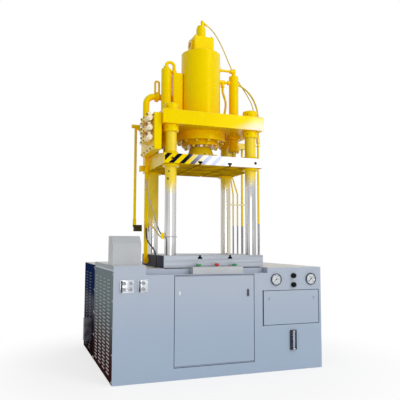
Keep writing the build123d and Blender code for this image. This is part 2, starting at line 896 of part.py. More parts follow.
def kicker_rod(x, top):
    """Kicker rod with its piston and a round foot on the slide."""
    piston = kicker_bore / 2 - running_gap
    stem = kicker_rod_dia / 2
    foot = kicker_foot_dia / 2
    piston_top = top - kicker_cap - kicker_piston_room
    piston_low = piston_top - kicker_piston_height
    low = slide_top
    body = turned((0, low), (foot, low), (foot, low + kicker_foot_height), (stem, low + kicker_foot_height),
                  (stem, piston_low), (piston, piston_low), (piston, piston_top), (0, piston_top))
    return Pos(x, 0, 0) * body


def side_block():
    """Tall machined block between the left kicker cylinder and the main cylinder."""
    block = span(side_block_left, side_block_left + side_block_width, side_block_front,
                 side_block_front + side_block_depth, crown_top, side_block_top)
    block = chamfer(block.edges().filter_by(Axis.Z), side_block_bevel)
    return chamfer(block.edges().group_by(Axis.Z)[-1], side_block_bevel / 2)


def u_pipe(dia, start, end, crest):
    """Pipe bent as an upside-down U between two feet, its centre line topping out at a height."""
    bend = bend_share * abs(end[0] - start[0])
    path = FilletPolyline(start, (*start[:2], crest), (*end[:2], crest), end, radius=bend)
    return sweep(Plane(origin=start) * Circle(dia / 2), path=path)


def loop_pipe():
    """Bent pipe from the left kicker cylinder over to the side block, with its two nuts."""
    left = -kicker_offset
    right = left + loop_span
    bend = u_pipe(loop_dia, (left, 0, kicker_top_left), (right, 0, side_block_top), loop_crest)
    bend += hexagon(loop_nut_dia, kicker_top_left, kicker_top_left + loop_nut_height, left)
    return bend + hexagon(loop_nut_dia, side_block_top, side_block_top + loop_nut_height, right)


def link_pipes():
    """The loop pipe, and two short links between the main cylinder and the right kicker cylinder."""
    start = cylinder_dia / 2 + boss_reach
    upper_end = kicker_offset - kicker_neck_dia / 2 - boss_reach
    upper = lying(link_dia, (start, 0, upper_link_height), (upper_end, 0, upper_link_height))
    lower_end = kicker_offset - kicker_dia / 2 - boss_reach
    tee_x = start + tee_length / 2
    lower = lying(link_dia, (start, 0, lower_link_height), (lower_end, 0, lower_link_height))
    lower += lying(tee_dia, (start, 0, lower_link_height), (start + tee_length, 0, lower_link_height))
    lower += rod(tee_dia - nut_bevel, lower_link_height - tee_dia / 2 - tee_drop, lower_link_height, tee_x)
    return group([loop_pipe(), upper, lower])


def feed_pipe():
    """Feed pipe from the valve block up and over to the side block, with a joint and a bypass arch."""
    corner = (feed_x, feed_y, feed_height)
    end = (side_block_left, feed_y, feed_height)
    path = FilletPolyline((feed_x, feed_y, manifold_top), corner, end, radius=feed_bend)
    pipe = sweep(Plane(origin=(feed_x, feed_y, manifold_top)) * Circle(feed_dia / 2), path=path)
    pipe += rod(feed_foot_dia, manifold_top, manifold_top + feed_foot_height, feed_x, feed_y)
    joint_end = feed_joint_x + feed_joint_thickness
    pipe += lying(feed_joint_dia, (feed_joint_x, feed_y, feed_height), (joint_end, feed_y, feed_height))
    arch_right = arch_left + arch_span
    crest = arch_top - arch_dia / 2
    return pipe + u_pipe(arch_dia, (arch_left, feed_y, feed_height), (arch_right, feed_y, feed_height), crest)


def valve_manifold():
    """Drilled valve block bolted to the crown's left side."""
    block = span(manifold_left, crown_left, manifold_front, manifold_back, manifold_bottom, manifold_top)
    return chamfer(block.edges().filter_by(Axis.Z), manifold_bevel)


def solenoid_valves():
    """Three spool valves on the valve block, each with a coil at both ends."""
    valves = []
    face = manifold_left
    for height in valve_heights:
        half = valve_body / 2
        low = height - half + valve_trim
        high = height + half - valve_trim
        body = span(face - valve_body, face, valve_middle_y - valve_body, valve_middle_y + valve_body, low,
                    high)
        axis_x = face - half
        for end in (-1, 1):
            inner = valve_middle_y + end * valve_body
            body += lying(coil_dia, (axis_x, inner, height), (axis_x, inner + end * coil_length, height))
            tip = inner + end * (coil_length + coil_pin_reach)
            body += lying(coil_dia / 2, (axis_x, inner, height), (axis_x, tip, height))
        valves.append(body)
    return group(valves)


def hose_fittings():
    """Pilot elbow on the pilot valve, elbow at the crown's right end and stub on the crown."""
    stem_top = pilot_top + pilot_stem_height
    pilot = hexagon(fitting_hex, pilot_top, stem_top - plate_bevel, pilot_stem_x)
    pilot += lying(pilot_exit_dia, (pilot_stem_x, 0, pilot_exit_height), pilot_hose_start)
    hose_x, _, hose_low = pilot_hose_route[-1]
    elbow_height = crown_top - crown_elbow_drop
    elbow = lying(crown_elbow_dia, (crown_right, 0, elbow_height), (hose_x, 0, elbow_height))
    elbow += Pos(hose_x, 0, elbow_height) * Sphere(crown_elbow_dia / 2)
    elbow += rod(crown_elbow_dia, elbow_height, hose_low, hose_x)
    side_x, side_y, side_low = side_hose_route[-1]
    stub = hexagon(stub_hex, crown_top, side_low, side_x, side_y)
    return group([pilot, elbow, stub])


def riser(x, top_x, dia):
    """Riser from inside the cabinet to the riser block, cranked sideways if its top stands elsewhere."""
    high = crown_bottom - riser_block_drop
    if top_x == x:
        return rod(dia, riser_foot, high, x, riser_y)
    path = FilletPolyline((x, riser_y, riser_foot), (x, riser_y, riser_bend_low),
                          (top_x, riser_y, riser_bend_high),
                          (top_x, riser_y, high), radius=riser_bend_radius)
    return sweep(Plane(origin=(x, riser_y, riser_foot)) * Circle(dia / 2), path=path)


def riser_pipes():
    """Rear risers up to a block behind the crown, and the outer pipe at the right with its union."""
    low = crown_bottom - riser_block_drop
    high = low + riser_block_height
    left = riser_xs[0] - riser_dias[0] / 2 - clamp_margin
    right = riser_xs[-1] + riser_dias[-1] / 2 + clamp_margin
    face = crown_depth / 2
    rear = span(left, right, face, face + riser_block_depth, low, high)
    rear += span(crown_right - riser_tab_reach, left, face, face + riser_tab_depth, crown_bottom, high)
    for x, top_x, dia in zip(riser_xs, riser_top_xs, riser_dias):
        rear += riser(x, top_x, dia)
    union_top = kicker_hose_route[-1][2]
    union_low = union_top - union_height
    outer = rod(outer_pipe_dia, cabinet_height, union_low, *kicker_hose_end)
    outer += hexagon(union_dia, union_low, union_top, *kicker_hose_end)
    return group([rear, outer])


def pipe_clamps():
    """Clamp strip across the rear risers, bent bracket of the outer pipe, and the line anchor's collar."""
    left = riser_xs[0] - riser_dias[0] / 2 - clamp_margin
    right = riser_xs[-1] + riser_dias[-1] / 2 + clamp_margin
    half_depth = max(riser_dias) / 2 + clamp_side
    low = clamp_height - clamp_thickness / 2
    high = clamp_height + clamp_thickness / 2
    strip = span(left, right, riser_y - half_depth, riser_y + half_depth, low, high)
    for x, dia in zip(riser_xs, riser_dias):
        strip -= rod(dia + 2 * running_gap, low - 1, high + 1, x, riser_y)
    pipe_x, pipe_y = kicker_hose_end
    web_x = crown_right - bracket_setback
    front = pipe_y - bracket_width / 2
    back = pipe_y + bracket_width / 2
    foot = crown_bottom - bracket_drop
    bracket = span(web_x, web_x + bracket_thickness, front, back, foot, crown_bottom)
    bracket += span(web_x, pipe_x + bracket_width / 2, front, back, foot, foot + bracket_thickness)
    bracket += span(web_x - bracket_foot, web_x, front, back, crown_bottom - bracket_thickness, crown_bottom)
    bracket -= rod(outer_pipe_dia + 2 * running_gap, foot - 1, foot + bracket_thickness + 1, pipe_x, pipe_y)
    x, y = column_xs[0], column_ys[0]
    collar = rod(collar_dia, collar_low, collar_low + collar_height, x, y)
    half = anchor_thickness / 2
    collar += span(anchor_left, anchor_left + anchor_width, y - half, y + half, anchor_low,
                   anchor_low + anchor_height)
    collar -= rod(column_dia + 2 * running_gap, anchor_low - 1, anchor_low + anchor_height + 1, x, y)
    return group([strip, bracket, collar])


def stroke_sensor():
    """Stroke sensor tube hung from the crown's left side by a tee head, with its switch head below."""
    x = stroke_tube_x
    y = stroke_tube_y
    tube = rod(stroke_tube_dia, stroke_tube_bottom, stroke_tube_top, x, y)
    half = stroke_tee_width / 2
    tube += lying(stroke_tee_dia, (x - half, y, stroke_tube_top), (x + half, y, stroke_tube_top))
    arm_low = crown_bottom + crown_thickness / 2
    plate_face = crown_left - stroke_plate_thickness
    tube += lying(stroke_tube_dia, (x, y, stroke_tube_top), (plate_face + 2, y, arm_low))
    side = stroke_plate_width / 2
    rise = stroke_plate_height / 2
    tube += span(plate_face, crown_left, y - side, y + side, arm_low - rise, arm_low + rise)
    collar_low = stroke_tube_bottom - stroke_collar_below
    tube += rod(stroke_collar_dia, collar_low, stroke_tube_bottom + stroke_collar_above, x, y)
    head_low = sensor_height - sensor_tall / 2
    deep = sensor_depth / 2
    tube += span(x - sensor_back, x + sensor_width, y - deep, y + deep, head_low, head_low + sensor_tall)
    return tube


def switch_bar():
    """Flat bar held by a lug under the crown and a spacer on the bed, with its two limit switches."""
    left = switch_bar_left
    right = left + switch_bar_width
    front = switch_bar_y
    back = front + switch_bar_thickness
    bar = span(left, right, front, back, switch_bar_bottom, crown_bottom)
    wide = switch_bar_thickness + switch_lug_margin
    lug_low = crown_bottom - switch_lug_thickness
    bar += span(right, right + switch_lug, back - wide, front + wide, lug_low, crown_bottom)
    deep = switch_bar_thickness + switch_spacer_margin
    low = switch_bar_bottom + switch_spacer_lift
    bar += span(right, -plate_width / 2, back - deep, front + deep, low, low + switch_spacer_height)
    middle = (left + right) / 2
    gland_y = front - switch_deep / 2
    switches = []
    for height in switch_heights:
        switch = span(left, right, front - switch_deep, front, height, height + switch_tall)
        switch = chamfer(switch.edges().group_by(Axis.Y)[0], nut_bevel)
        switch += rod(switch_gland_dia, height - switch_gland_reach, height, middle, gland_y)
        switches.append(switch)
    front_gland = front - switch_deep - switch_gland_reach
    gland_z = switch_heights[0] + switch_tall / 2
    switches[0] += lying(switch_gland_dia, (middle, front - switch_deep, gland_z),
                         (middle, front_gland, gland_z))
    return group([bar, *switches])


def ejector_cylinder():
    """Ejector cylinder hung under the bed."""
    flange = ejector_flange_dia / 2
    outer = ejector_dia / 2
    bore = ejector_bore / 2
    rod_bore = ejector_rod_dia / 2 + running_gap
    low = bed_bottom - ejector_length
    flange_low = bed_bottom - ejector_flange_height
    return turned((0, low), (outer - nut_bevel, low), (outer, low + nut_bevel), (outer, flange_low),
                  (flange, flange_low), (flange, bed_bottom), (rod_bore, bed_bottom), (rod_bore, flange_low),
                  (bore, flange_low), (bore, low + kicker_cap), (0, low + kicker_cap))


def ejector_rod():
    """Ejector rod with its piston, just below the bed's face at rest."""
    stem = ejector_rod_dia / 2
    piston = ejector_bore / 2 - running_gap
    low = bed_bottom - ejector_length + kicker_cap + seat_gap
    piston_top = low + ejector_piston_height
    top = bed_top - ejector_below_bed
    return turned((0, low), (piston, low), (piston, piston_top), (stem, piston_top), (stem, top - nut_bevel),
                  (stem - nut_bevel, top), (0, top))


def cabinet_frame():
    """Welded angle frame: floor and top rings, posts and the floor rails that tie to the pedestal."""
    left = cabinet_left + skin
    right = cabinet_right - skin
    front = cabinet_front + skin
    back = cabinet_back - skin
    width = right - left
    depth = back - front
    east, west, north, south, up, down = (1, 0, 0), (-1, 0, 0), (0, 1, 0), (0, -1, 0), (0, 0, 1), (0, 0, -1)
    frame = angle_bar((right, front, 0), west, up, width)
    frame += angle_bar((left, back, 0), east, up, width)
    frame += angle_bar((left, front, 0), north, up, depth)
    frame += angle_bar((right, back, 0), south, up, depth)
    frame += angle_bar((right, back, sheet_top), west, down, width)
    frame += angle_bar((left, back, sheet_top), south, down, depth)
    frame += angle_bar((right, front, sheet_top), north, down, depth)
    for x0, x1 in ((left, notch_left - skin), (notch_right + skin, right)):
        frame += angle_bar((x0, front, sheet_top), east, down, x1 - x0)
    frame += angle_bar((left, front, 0), up, east, sheet_top)
    frame += angle_bar((right, front + corner_post_setback, 0), up, north, sheet_top)
    frame += angle_bar((left, back, 0), up, south, sheet_top)
    frame += angle_bar((right, back, 0), up, west, sheet_top)
    frame += angle_bar((door_left - angle_leg, front, 0), up, east, ledge_top - skin)
    frame += angle_bar((door_right + door_post_offset, front, 0), up, north, ledge_top - skin)
    frame += angle_bar((left, vent_seam_y, 0), up, south, sheet_top)
    edge = pedestal_width / 2
    for y in floor_rail_ys:
        if abs(y) < pedestal_depth / 2:
            frame += angle_bar((left, y, 0), east, up, -edge - left)
            frame += angle_bar((edge, y, 0), east, up, right - edge)
        else:
            frame += angle_bar((left, y, 0), east, up, width)
    return frame


def cabinet_top():
    """Top sheet cut out round the press, with pipe holes and the raised lid over the left side."""
    outline = pane(cabinet_left, cabinet_right, cabinet_front, cabinet_back)
    outline -= pane(notch_left, notch_right, cabinet_front - 1, plate_front)
    outline -= pane(-well_half_width, well_half_width, plate_front - 1, -plate_front)
    lid_right = cabinet_left + lid_width
    lid_back = cabinet_front + lid_depth
    outline -= pane(cabinet_left + angle_leg, lid_right - angle_leg, cabinet_front + angle_leg,
                    lid_back - angle_leg)
    for x, dia in zip(riser_xs, riser_dias):
        outline -= Pos(x, riser_y) * Circle(dia / 2 + running_gap)
    top = extrude(Plane.XY.offset(sheet_top) * outline, skin)
    lid = span(cabinet_left, lid_right, cabinet_front, lid_back, cabinet_height, lid_top)
    lid -= span(cabinet_left + skin, lid_right - skin, cabinet_front + skin, lid_back - skin,
                cabinet_height - skin,
                lid_top - skin)
    return top + lid


def front_panel():
    """Front sheet with door and hatch openings, holes for the instruments, and the folded ledge tray."""
    pattern = pane(cabinet_left, cabinet_right, 0, sheet_top)
    pattern -= pane(notch_left, notch_right, ledge_top, cabinet_height)
    pattern -= pane(door_left, door_right, door_bottom, door_top)
    pattern -= pane(hatch_left, hatch_right, hatch_bottom, hatch_top)
    for x in gauge_xs:
        pattern -= Pos(x, gauge_z) * Circle(gauge_case_dia / 2 + bolt_gap)
    for z in knob_zs:
        pattern -= Pos(knob_x, z) * Circle(knob_shaft_dia / 2 + seat_gap)
    for z in (level_z - level_height / 3, level_z + level_height / 3):
        pattern -= Pos(level_x, z) * Circle(level_stub_dia / 2 + seat_gap)
    panel = extrude(Plane.XZ.offset(-cabinet_front) * pattern, -skin)
    inner = plate_front - skin
    tray = span(notch_left - skin, notch_right + skin, cabinet_front, plate_front, ledge_top - skin,
                sheet_top)
    tray -= span(notch_left, notch_right, cabinet_front - 1, inner, ledge_top, cabinet_height)
    rebate = angle_leg / 2
    stop_y = cabinet_front + hatch_depth
    stop = span(hatch_left - rebate, hatch_right + rebate, stop_y, stop_y + skin, hatch_bottom + hinge_lug,
                hatch_top + rebate)
    stop -= span(hatch_left + rebate, hatch_right - rebate, cabinet_front, stop_y + hatch_depth, hatch_bottom,
                 hatch_top - rebate)
    skirt = span(hatch_left - rebate, hatch_right + rebate, cabinet_front + skin, stop_y,
                 hatch_top + rebate - skin,
                 hatch_top + rebate)
    panel += tray + stop + skirt
    pivot_x, pivot_y = door_pivot()
    for low in (door_bottom - hinge_lug_thickness, door_top):
        lug = span(door_left, pivot_x + hinge_lug / 2, cabinet_front + skin, pivot_y + hinge_lug, low,
                   low + hinge_lug_thickness)
        panel += lug
        panel -= rod(hinge_pin_dia + 2 * seat_gap, low - 1, low + hinge_lug_thickness + 1, pivot_x, pivot_y)
    for x in (hatch_left - skin, hatch_right):
        panel += span(x, x + skin, cabinet_front + skin, stop_y + skin, hatch_bottom,
                      hatch_bottom + hinge_lug)
    pivot = hatch_pivot()
    pin_hole = Rot(0, 90, 0) * Cylinder(hinge_pin_dia / 4 + seat_gap, 3 * hatch_right)
    panel -= Pos(0, pivot[0], pivot[1]) * pin_hole
    return panel


def door_pivot():
    """Place of the door's upright hinge axis."""
    return door_left + door_gap + hinge_inset_x, cabinet_front + hinge_inset_y


def hatch_pivot():
    """Depth and height of the hatch's level hinge axis."""
    return cabinet_front + hinge_inset_y, hatch_bottom + door_gap + hinge_inset_x


def front_door():
    """Folded door pan with its pivot pins."""
    x0, x1 = door_left + door_gap, door_right - door_gap
    z0, z1 = door_bottom + door_gap, door_top - door_gap
    door = span(x0, x1, cabinet_front, cabinet_front + door_depth, z0, z1)
    door -= span(x0 + skin, x1 - skin, cabinet_front + skin, cabinet_front + door_depth + 1, z0 + skin,
                 z1 - skin)
    pivot_x, pivot_y = door_pivot()
    reach = hinge_pin_length - door_gap
    for low in (z0 - door_gap - reach, z1 - hinge_pin_length):
        door += rod(hinge_pin_dia, low, low + 2 * hinge_pin_length, pivot_x, pivot_y)
    lock_hole = Rot(90, 0, 0) * Cylinder(lock_shaft_dia / 2 + seat_gap, 4 * skin)
    return door - Pos(lock_x, cabinet_front, lock_z) * lock_hole


def door_lock():
    """Swing-lever lock: shaft through the door, lever hanging in front and cam behind."""
    inner = -skin - lock_cam_depth
    body = rod(lock_shaft_dia, inner, lock_lever_thickness)
    half = lock_lever_width / 2
    slot = SlotCenterToCenter(lock_lever_length - lock_lever_width, lock_lever_width, rotation=90)
    lever = extrude(Pos(0, -(lock_lever_length - lock_lever_width) / 2) * slot,
                    lock_lever_thickness - seat_gap)
    body += Pos(0, 0, seat_gap) * lever
    outline = RectangleRounded(lock_lever_width, lock_cam_length, lock_cam_round)
    outline = Pos(0, -lock_cam_length / 2 + half) * outline
    body += Pos(0, 0, inner) * extrude(outline, lock_cam_thickness)
    return facing(lock_x, lock_z, body)


def hatch_door():
    """Hatch flap with its bottom pivot pins and two finger pulls."""
    x0, x1 = hatch_left + door_gap, hatch_right - door_gap
    z0, z1 = hatch_bottom + door_gap, hatch_top - door_gap
    back = cabinet_front + hatch_depth - seat_gap
    flap = span(x0, x1, cabinet_front, back, z0, z1)
    flap -= span(x0 + skin, x1 - skin, cabinet_front + skin, back + 1, z0 + skin, z1 - skin)
    pivot_y, pivot_z = hatch_pivot()
    pin = hinge_pin_dia / 2
    for side, x in ((-1, x0), (1, x1)):
        flap += lying(pin, (x - side * hinge_pin_length, pivot_y, pivot_z),
                      (x + side * (door_gap + skin), pivot_y, pivot_z))
    knob = turned((0, 0), (hatch_pull_dia / 2, 0), (hatch_pull_dia / 3, hatch_pull_height / 2),
                  (hatch_pull_dia / 2, hatch_pull_height), (0, hatch_pull_height))
    for x in hatch_pull_xs:
        flap += facing(x, hatch_pull_z, knob)
    return flap


def vent_panel(y0, y1, top, louvre_ys):
    """Side sheet with rows of pressed louvres, each a slot under a sloping hood."""
    rows = [louvre_first_z + row * louvre_row_pitch for row in range(louvre_rows)]
    rows = [z for z in rows if z + louvre_hood < top - angle_leg]
    places = [(y, z) for y in louvre_ys for z in rows]
    slot = Rectangle(louvre_width - 2 * skin, louvre_slot)
    pattern = pane(y0, y1, skin, top) - [Pos(y, z) * slot for y, z in places]
    sheet = extrude(Plane.YZ.offset(cabinet_left) * pattern, skin)
    low = louvre_slot / 2
    hood = make_face(Polyline((0, low), (-louvre_proud, low), (0, low + louvre_hood), close=True))
    hoods = []
    for y, z in places:
        plane = Plane(origin=(cabinet_left, y + louvre_width / 2, z), z_dir=(0, -1, 0), x_dir=(1, 0, 0))
        hoods.append(extrude(plane * hood, louvre_width))
    return sheet + hoods


def rear_shell():
    """Back and right sheets of the cabinet, folded in one."""
    shell = span(cabinet_left + skin, cabinet_right, cabinet_back - skin, cabinet_back, skin, sheet_top)
    return shell + span(cabinet_right - skin, cabinet_right, cabinet_front + skin, cabinet_back, skin,
                        sheet_top)


def gauge_cases():
    """Two pressure gauge cases: can behind the panel, bezel in front, dial face and spindle."""
    can = gauge_case_dia / 2
    rim = gauge_bezel_dia / 2
    dial = gauge_dial_dia / 2
    spindle = gauge_spindle_dia / 2
    rise = gauge_bezel_height
    floor = gauge_dial_height
    case = turned((0, -gauge_case_depth), (can, -gauge_case_depth), (can, 0), (rim, 0),
                  (rim, rise - nut_bevel),
                  (rim - nut_bevel, rise), (dial, rise), (dial, floor), (spindle, floor),
                  (spindle, rise - nut_bevel),
                  (0, rise - nut_bevel))
    return group([facing(x, gauge_z, case) for x in gauge_xs])


def gauge_needle(x):
    """Gauge needle with a tapered pointer, a tail and a hub on the spindle."""
    low = gauge_dial_height + seat_gap
    half = needle_width / 2
    pointer = Polyline((-needle_tail, half), (-needle_tail, -half), (needle_length, -half / 4),
                       (needle_length, half / 4),
                       close=True)
    blade = Pos(0, 0, low) * extrude(make_face(pointer), needle_thickness)
    hub = rod(needle_hub_dia, low, low + needle_hub_height)
    needle = blade + hub
    needle -= rod(gauge_spindle_dia + 2 * seat_gap, low - 1, gauge_bezel_height)
    return facing(x, gauge_z, Rot(0, 0, needle_zero) * needle)


def level_gauge():
    """Oil level gauge: body with a window recess and two hollow bolts through to the tank."""
    body = Pos(0, 0, level_depth / 2) * Box(level_width, level_height, level_depth)
    body = chamfer(body.edges().group_by(Axis.Z)[-1], nut_bevel)
    body -= Pos(0, 0, level_depth) * Box(level_window_width, level_window_height, level_depth)
    for y in (-level_height / 3, level_height / 3):
        body += rod(level_stub_dia, cabinet_front - tank_front, level_depth / 4, 0, y)
    return facing(level_x, level_z, body)


def control_knob(z):
    """Fluted regulator knob with its skirt and shaft through the panel."""
    grip = Circle(knob_dia / 2)
    for flute in range(knob_flutes):
        grip -= Rot(0, 0, 360 / knob_flutes * flute) * Pos(knob_dia / 2, 0) * Circle(knob_flute_dia / 2)
    body = Pos(0, 0, knob_base_height) * extrude(grip, knob_height - knob_base_height)
    body += rod(knob_dia, seat_gap, knob_base_height)
    body = body + rod(knob_shaft_dia, -knob_height, seat_gap + 1)
    return facing(knob_x, z, body)


def oil_tank():
    """Welded oil tank with a filler neck and a drain boss."""
    low = angle_leg
    high = angle_leg + tank_height
    tank = span(tank_left, tank_right, tank_front, tank_back, low, high)
    tank -= span(tank_left + tank_wall, tank_right - tank_wall, tank_front + tank_wall, tank_back - tank_wall,
                 low + tank_wall, high - tank_wall)
    middle = (tank_left + tank_right) / 2
    tank += rod(tank_filler_dia, high, high + tank_filler_height, middle, tank_filler_y)
    return tank - rod(tank_filler_dia - 2 * tank_wall, high - 2 * tank_wall,
                      high + tank_filler_height - tank_wall,
                      middle, tank_filler_y)


def on_motor_axis(y, body):
    """Put a body turned about Z on the motor's axis, its Z pointing to the front."""
    return Pos(motor_x, y, motor_height) * Rot(90, 0, 0) * body


def motor():
    """Foot-mounted electric motor with cooling ribs, fan cowl, terminal box and shaft end."""
    radius = motor_dia / 2 - motor_fin_height
    section = Circle(radius)
    for fin in range(motor_fins):
        rib = Pos(radius, 0) * Rectangle(2 * motor_fin_height, motor_fin_thickness)
        section += Rot(0, 0, 360 / motor_fins * (fin + 0.5)) * rib
    body = on_motor_axis(motor_front + motor_length, extrude(section, motor_length))
    rear = motor_front + motor_length
    body += on_motor_axis(rear + motor_cowl, extrude(Circle(motor_dia / 2), motor_cowl))
    body += on_motor_axis(motor_front + motor_end_plate, extrude(Circle(motor_dia / 2), motor_end_plate))
    body += on_motor_axis(motor_front, extrude(Circle(motor_shaft_dia / 2), motor_shaft_reach))
    for y in (motor_front + motor_foot_setback, rear - motor_foot_setback - motor_foot_length):
        half = motor_foot_width / 2
        body += span(motor_x - half, motor_x + half, y, y + motor_foot_length, angle_leg,
                     angle_leg + motor_foot_height)
        neck = motor_foot_neck / 2
        body += span(motor_x - neck, motor_x + neck, y, y + motor_foot_length, angle_leg, motor_height - neck)
    box_low = motor_height + radius - motor_fin_height
    box = terminal_box / 2
    middle = motor_front + motor_length / 2
    return body + span(motor_x - box, motor_x + box, middle - box, middle + box, box_low,
                       box_low + terminal_box)


def pump():
    """Hydraulic pump on a windowed bell housing bolted to the motor's face."""
    inner = bell_dia / 2 - bell_wall
    outer = bell_dia / 2
    pilot = pump_dia / 2
    stem = pump_shaft_dia / 2
    face = bell_length - bell_wall
    nose = bell_length + pump_length
    body = turned((inner, 0), (outer, 0), (outer, bell_length), (pilot, bell_length),
                  (pilot, nose - bell_wall),
                  (pilot - bell_wall, nose), (0, nose), (0, face - pump_shaft_reach),
                  (stem, face - pump_shaft_reach),
                  (stem, face), (inner, face))
    body -= Pos(0, 0, bell_length / 2) * Box(2 * bell_dia, bell_window, bell_window)
    port_height = bell_length + pump_length / 2
    port_length = pump_dia + 2 * pump_port_reach
    body += Pos(0, 0, port_height) * Rot(0, 90, 0) * Cylinder(pump_port_dia / 2, port_length)
    return on_motor_axis(motor_front, body)


def coupling():
    """Two-hub shaft coupling between motor and pump."""
    radius = hub_dia / 2
    start = (bell_length - bell_wall - hub_length) / 2
    end = start + hub_length
    waist = radius - hub_groove
    middle = (start + end) / 2
    motor_bore = motor_shaft_dia / 2 + seat_gap
    pump_bore = pump_shaft_dia / 2 + seat_gap
    body = turned((motor_bore, start), (radius, start), (radius, middle - hub_groove),
                  (waist, middle - hub_groove),
                  (waist, middle + hub_groove), (radius, middle + hub_groove), (radius, end),
                  (pump_bore, end),
                  (pump_bore, end - shaft_entry), (0, end - shaft_entry), (0, start + shaft_entry),
                  (motor_bore, start + shaft_entry))
    return on_motor_axis(motor_front, body)


def control_box():
    """Folded control box on the raised lid, with a sloping upper front."""
    front = control_front
    back = control_front + control_depth
    high = lid_top + control_height
    outline = Polyline((front, lid_top), (back, lid_top), (back, high), (front + control_slope, high),
                       (front, high - control_slope), close=True)
    box = extrude(Plane.YZ.offset(control_left) * make_face(outline), control_width)
    box = fillet(box.edges().filter_by(Axis.X).group_by(Axis.Z)[-1], control_round)
    return offset(box, amount=-skin, openings=box.faces().sort_by(Axis.Z)[0])


def two_hand_bar():
    """Two-hand control bar with rounded upper edges and three button holes."""
    half = bar_length / 2
    bar = span(bar_x - half, bar_x + half, bar_y - bar_depth / 2, bar_y + bar_depth / 2, ledge_top, bar_top)
    bar = fillet(bar.edges().filter_by(Axis.X).group_by(Axis.Z)[-1], bar_round)
    for x in (bar_x - button_offset, bar_x, bar_x + button_offset):
        bar -= rod(button_stem_dia + 2 * bolt_gap, bar_top - button_hole_depth, bar_top + 1, x, bar_y)
    return bar


def push_button(x, head_dia, head_height):
    """Push button with a domed head on a stem."""
    under = bar_top + button_stand
    stem = button_stem_dia / 2
    head = head_dia / 2
    low = bar_top - button_stem_length
    top = under + head_height
    body = turned((0, low), (stem, low), (stem, under), (head - nut_bevel, under), (head, under + nut_bevel),
                  (head, top - 2 * nut_bevel), (head - 2 * nut_bevel, top), (0, top))
    return Pos(x, bar_y, 0) * body


def power_inlet():
    """Power inlet box on the left rear sheet with its cable gland underneath."""
    top = inlet_bottom + inlet_height
    box = span(cabinet_left - inlet_proud, cabinet_left, inlet_y - inlet_depth / 2, inlet_y + inlet_depth / 2,
               inlet_bottom, top)
    box = chamfer(box.edges().filter_by(Axis.Z), nut_bevel)
    middle = cabinet_left - inlet_proud / 2
    box += rod(inlet_gland_dia, inlet_bottom - inlet_gland_height, inlet_bottom, middle, inlet_y)
    return box - rod(inlet_gland_dia / 2, inlet_bottom - inlet_gland_height - 1, inlet_bottom, middle,
                     inlet_y)


def bend_radii(route):
    """Bend radius at each inner point of a route, set by the shorter run beside it."""
    radii = []
    for before, corner, after in zip(route, route[1:], route[2:]):
        run_in = Vector(*corner) - Vector(*before)
        run_out = Vector(*after) - Vector(*corner)
        turn = math.radians(run_in.get_angle(run_out))
        radii.append(bend_share * min(run_in.length, run_out.length) / math.tan(turn / 2))
    return radii


def hose(name, route, dia):
    """Hose swept along its route, with its bend radii and volume printed."""
    radii = bend_radii(route)
    path = FilletPolyline(*route, radius=radii)
    start = Plane(origin=route[0], z_dir=Vector(*route[1]) - Vector(*route[0]))
    body = sweep(start * Circle(dia / 2), path=path)
    share = body.volume / (math.pi * dia**2 / 4 * path.length)
    print(name, "length", round(path.length), "radii", [round(radius) for radius in radii], "volume",
          round(share, 4))
    return body


def control_lines():
    """Signal cable and return line from the switches to the collar, and the line down to the cabinet."""
    signal = hose("signal_cable", signal_cable_route, signal_cable_dia)
    back = hose("return_line", return_line_route, return_line_dia)
    drop = hose("drop_line", drop_line_route, drop_line_dia)
    return group([signal, back, drop])


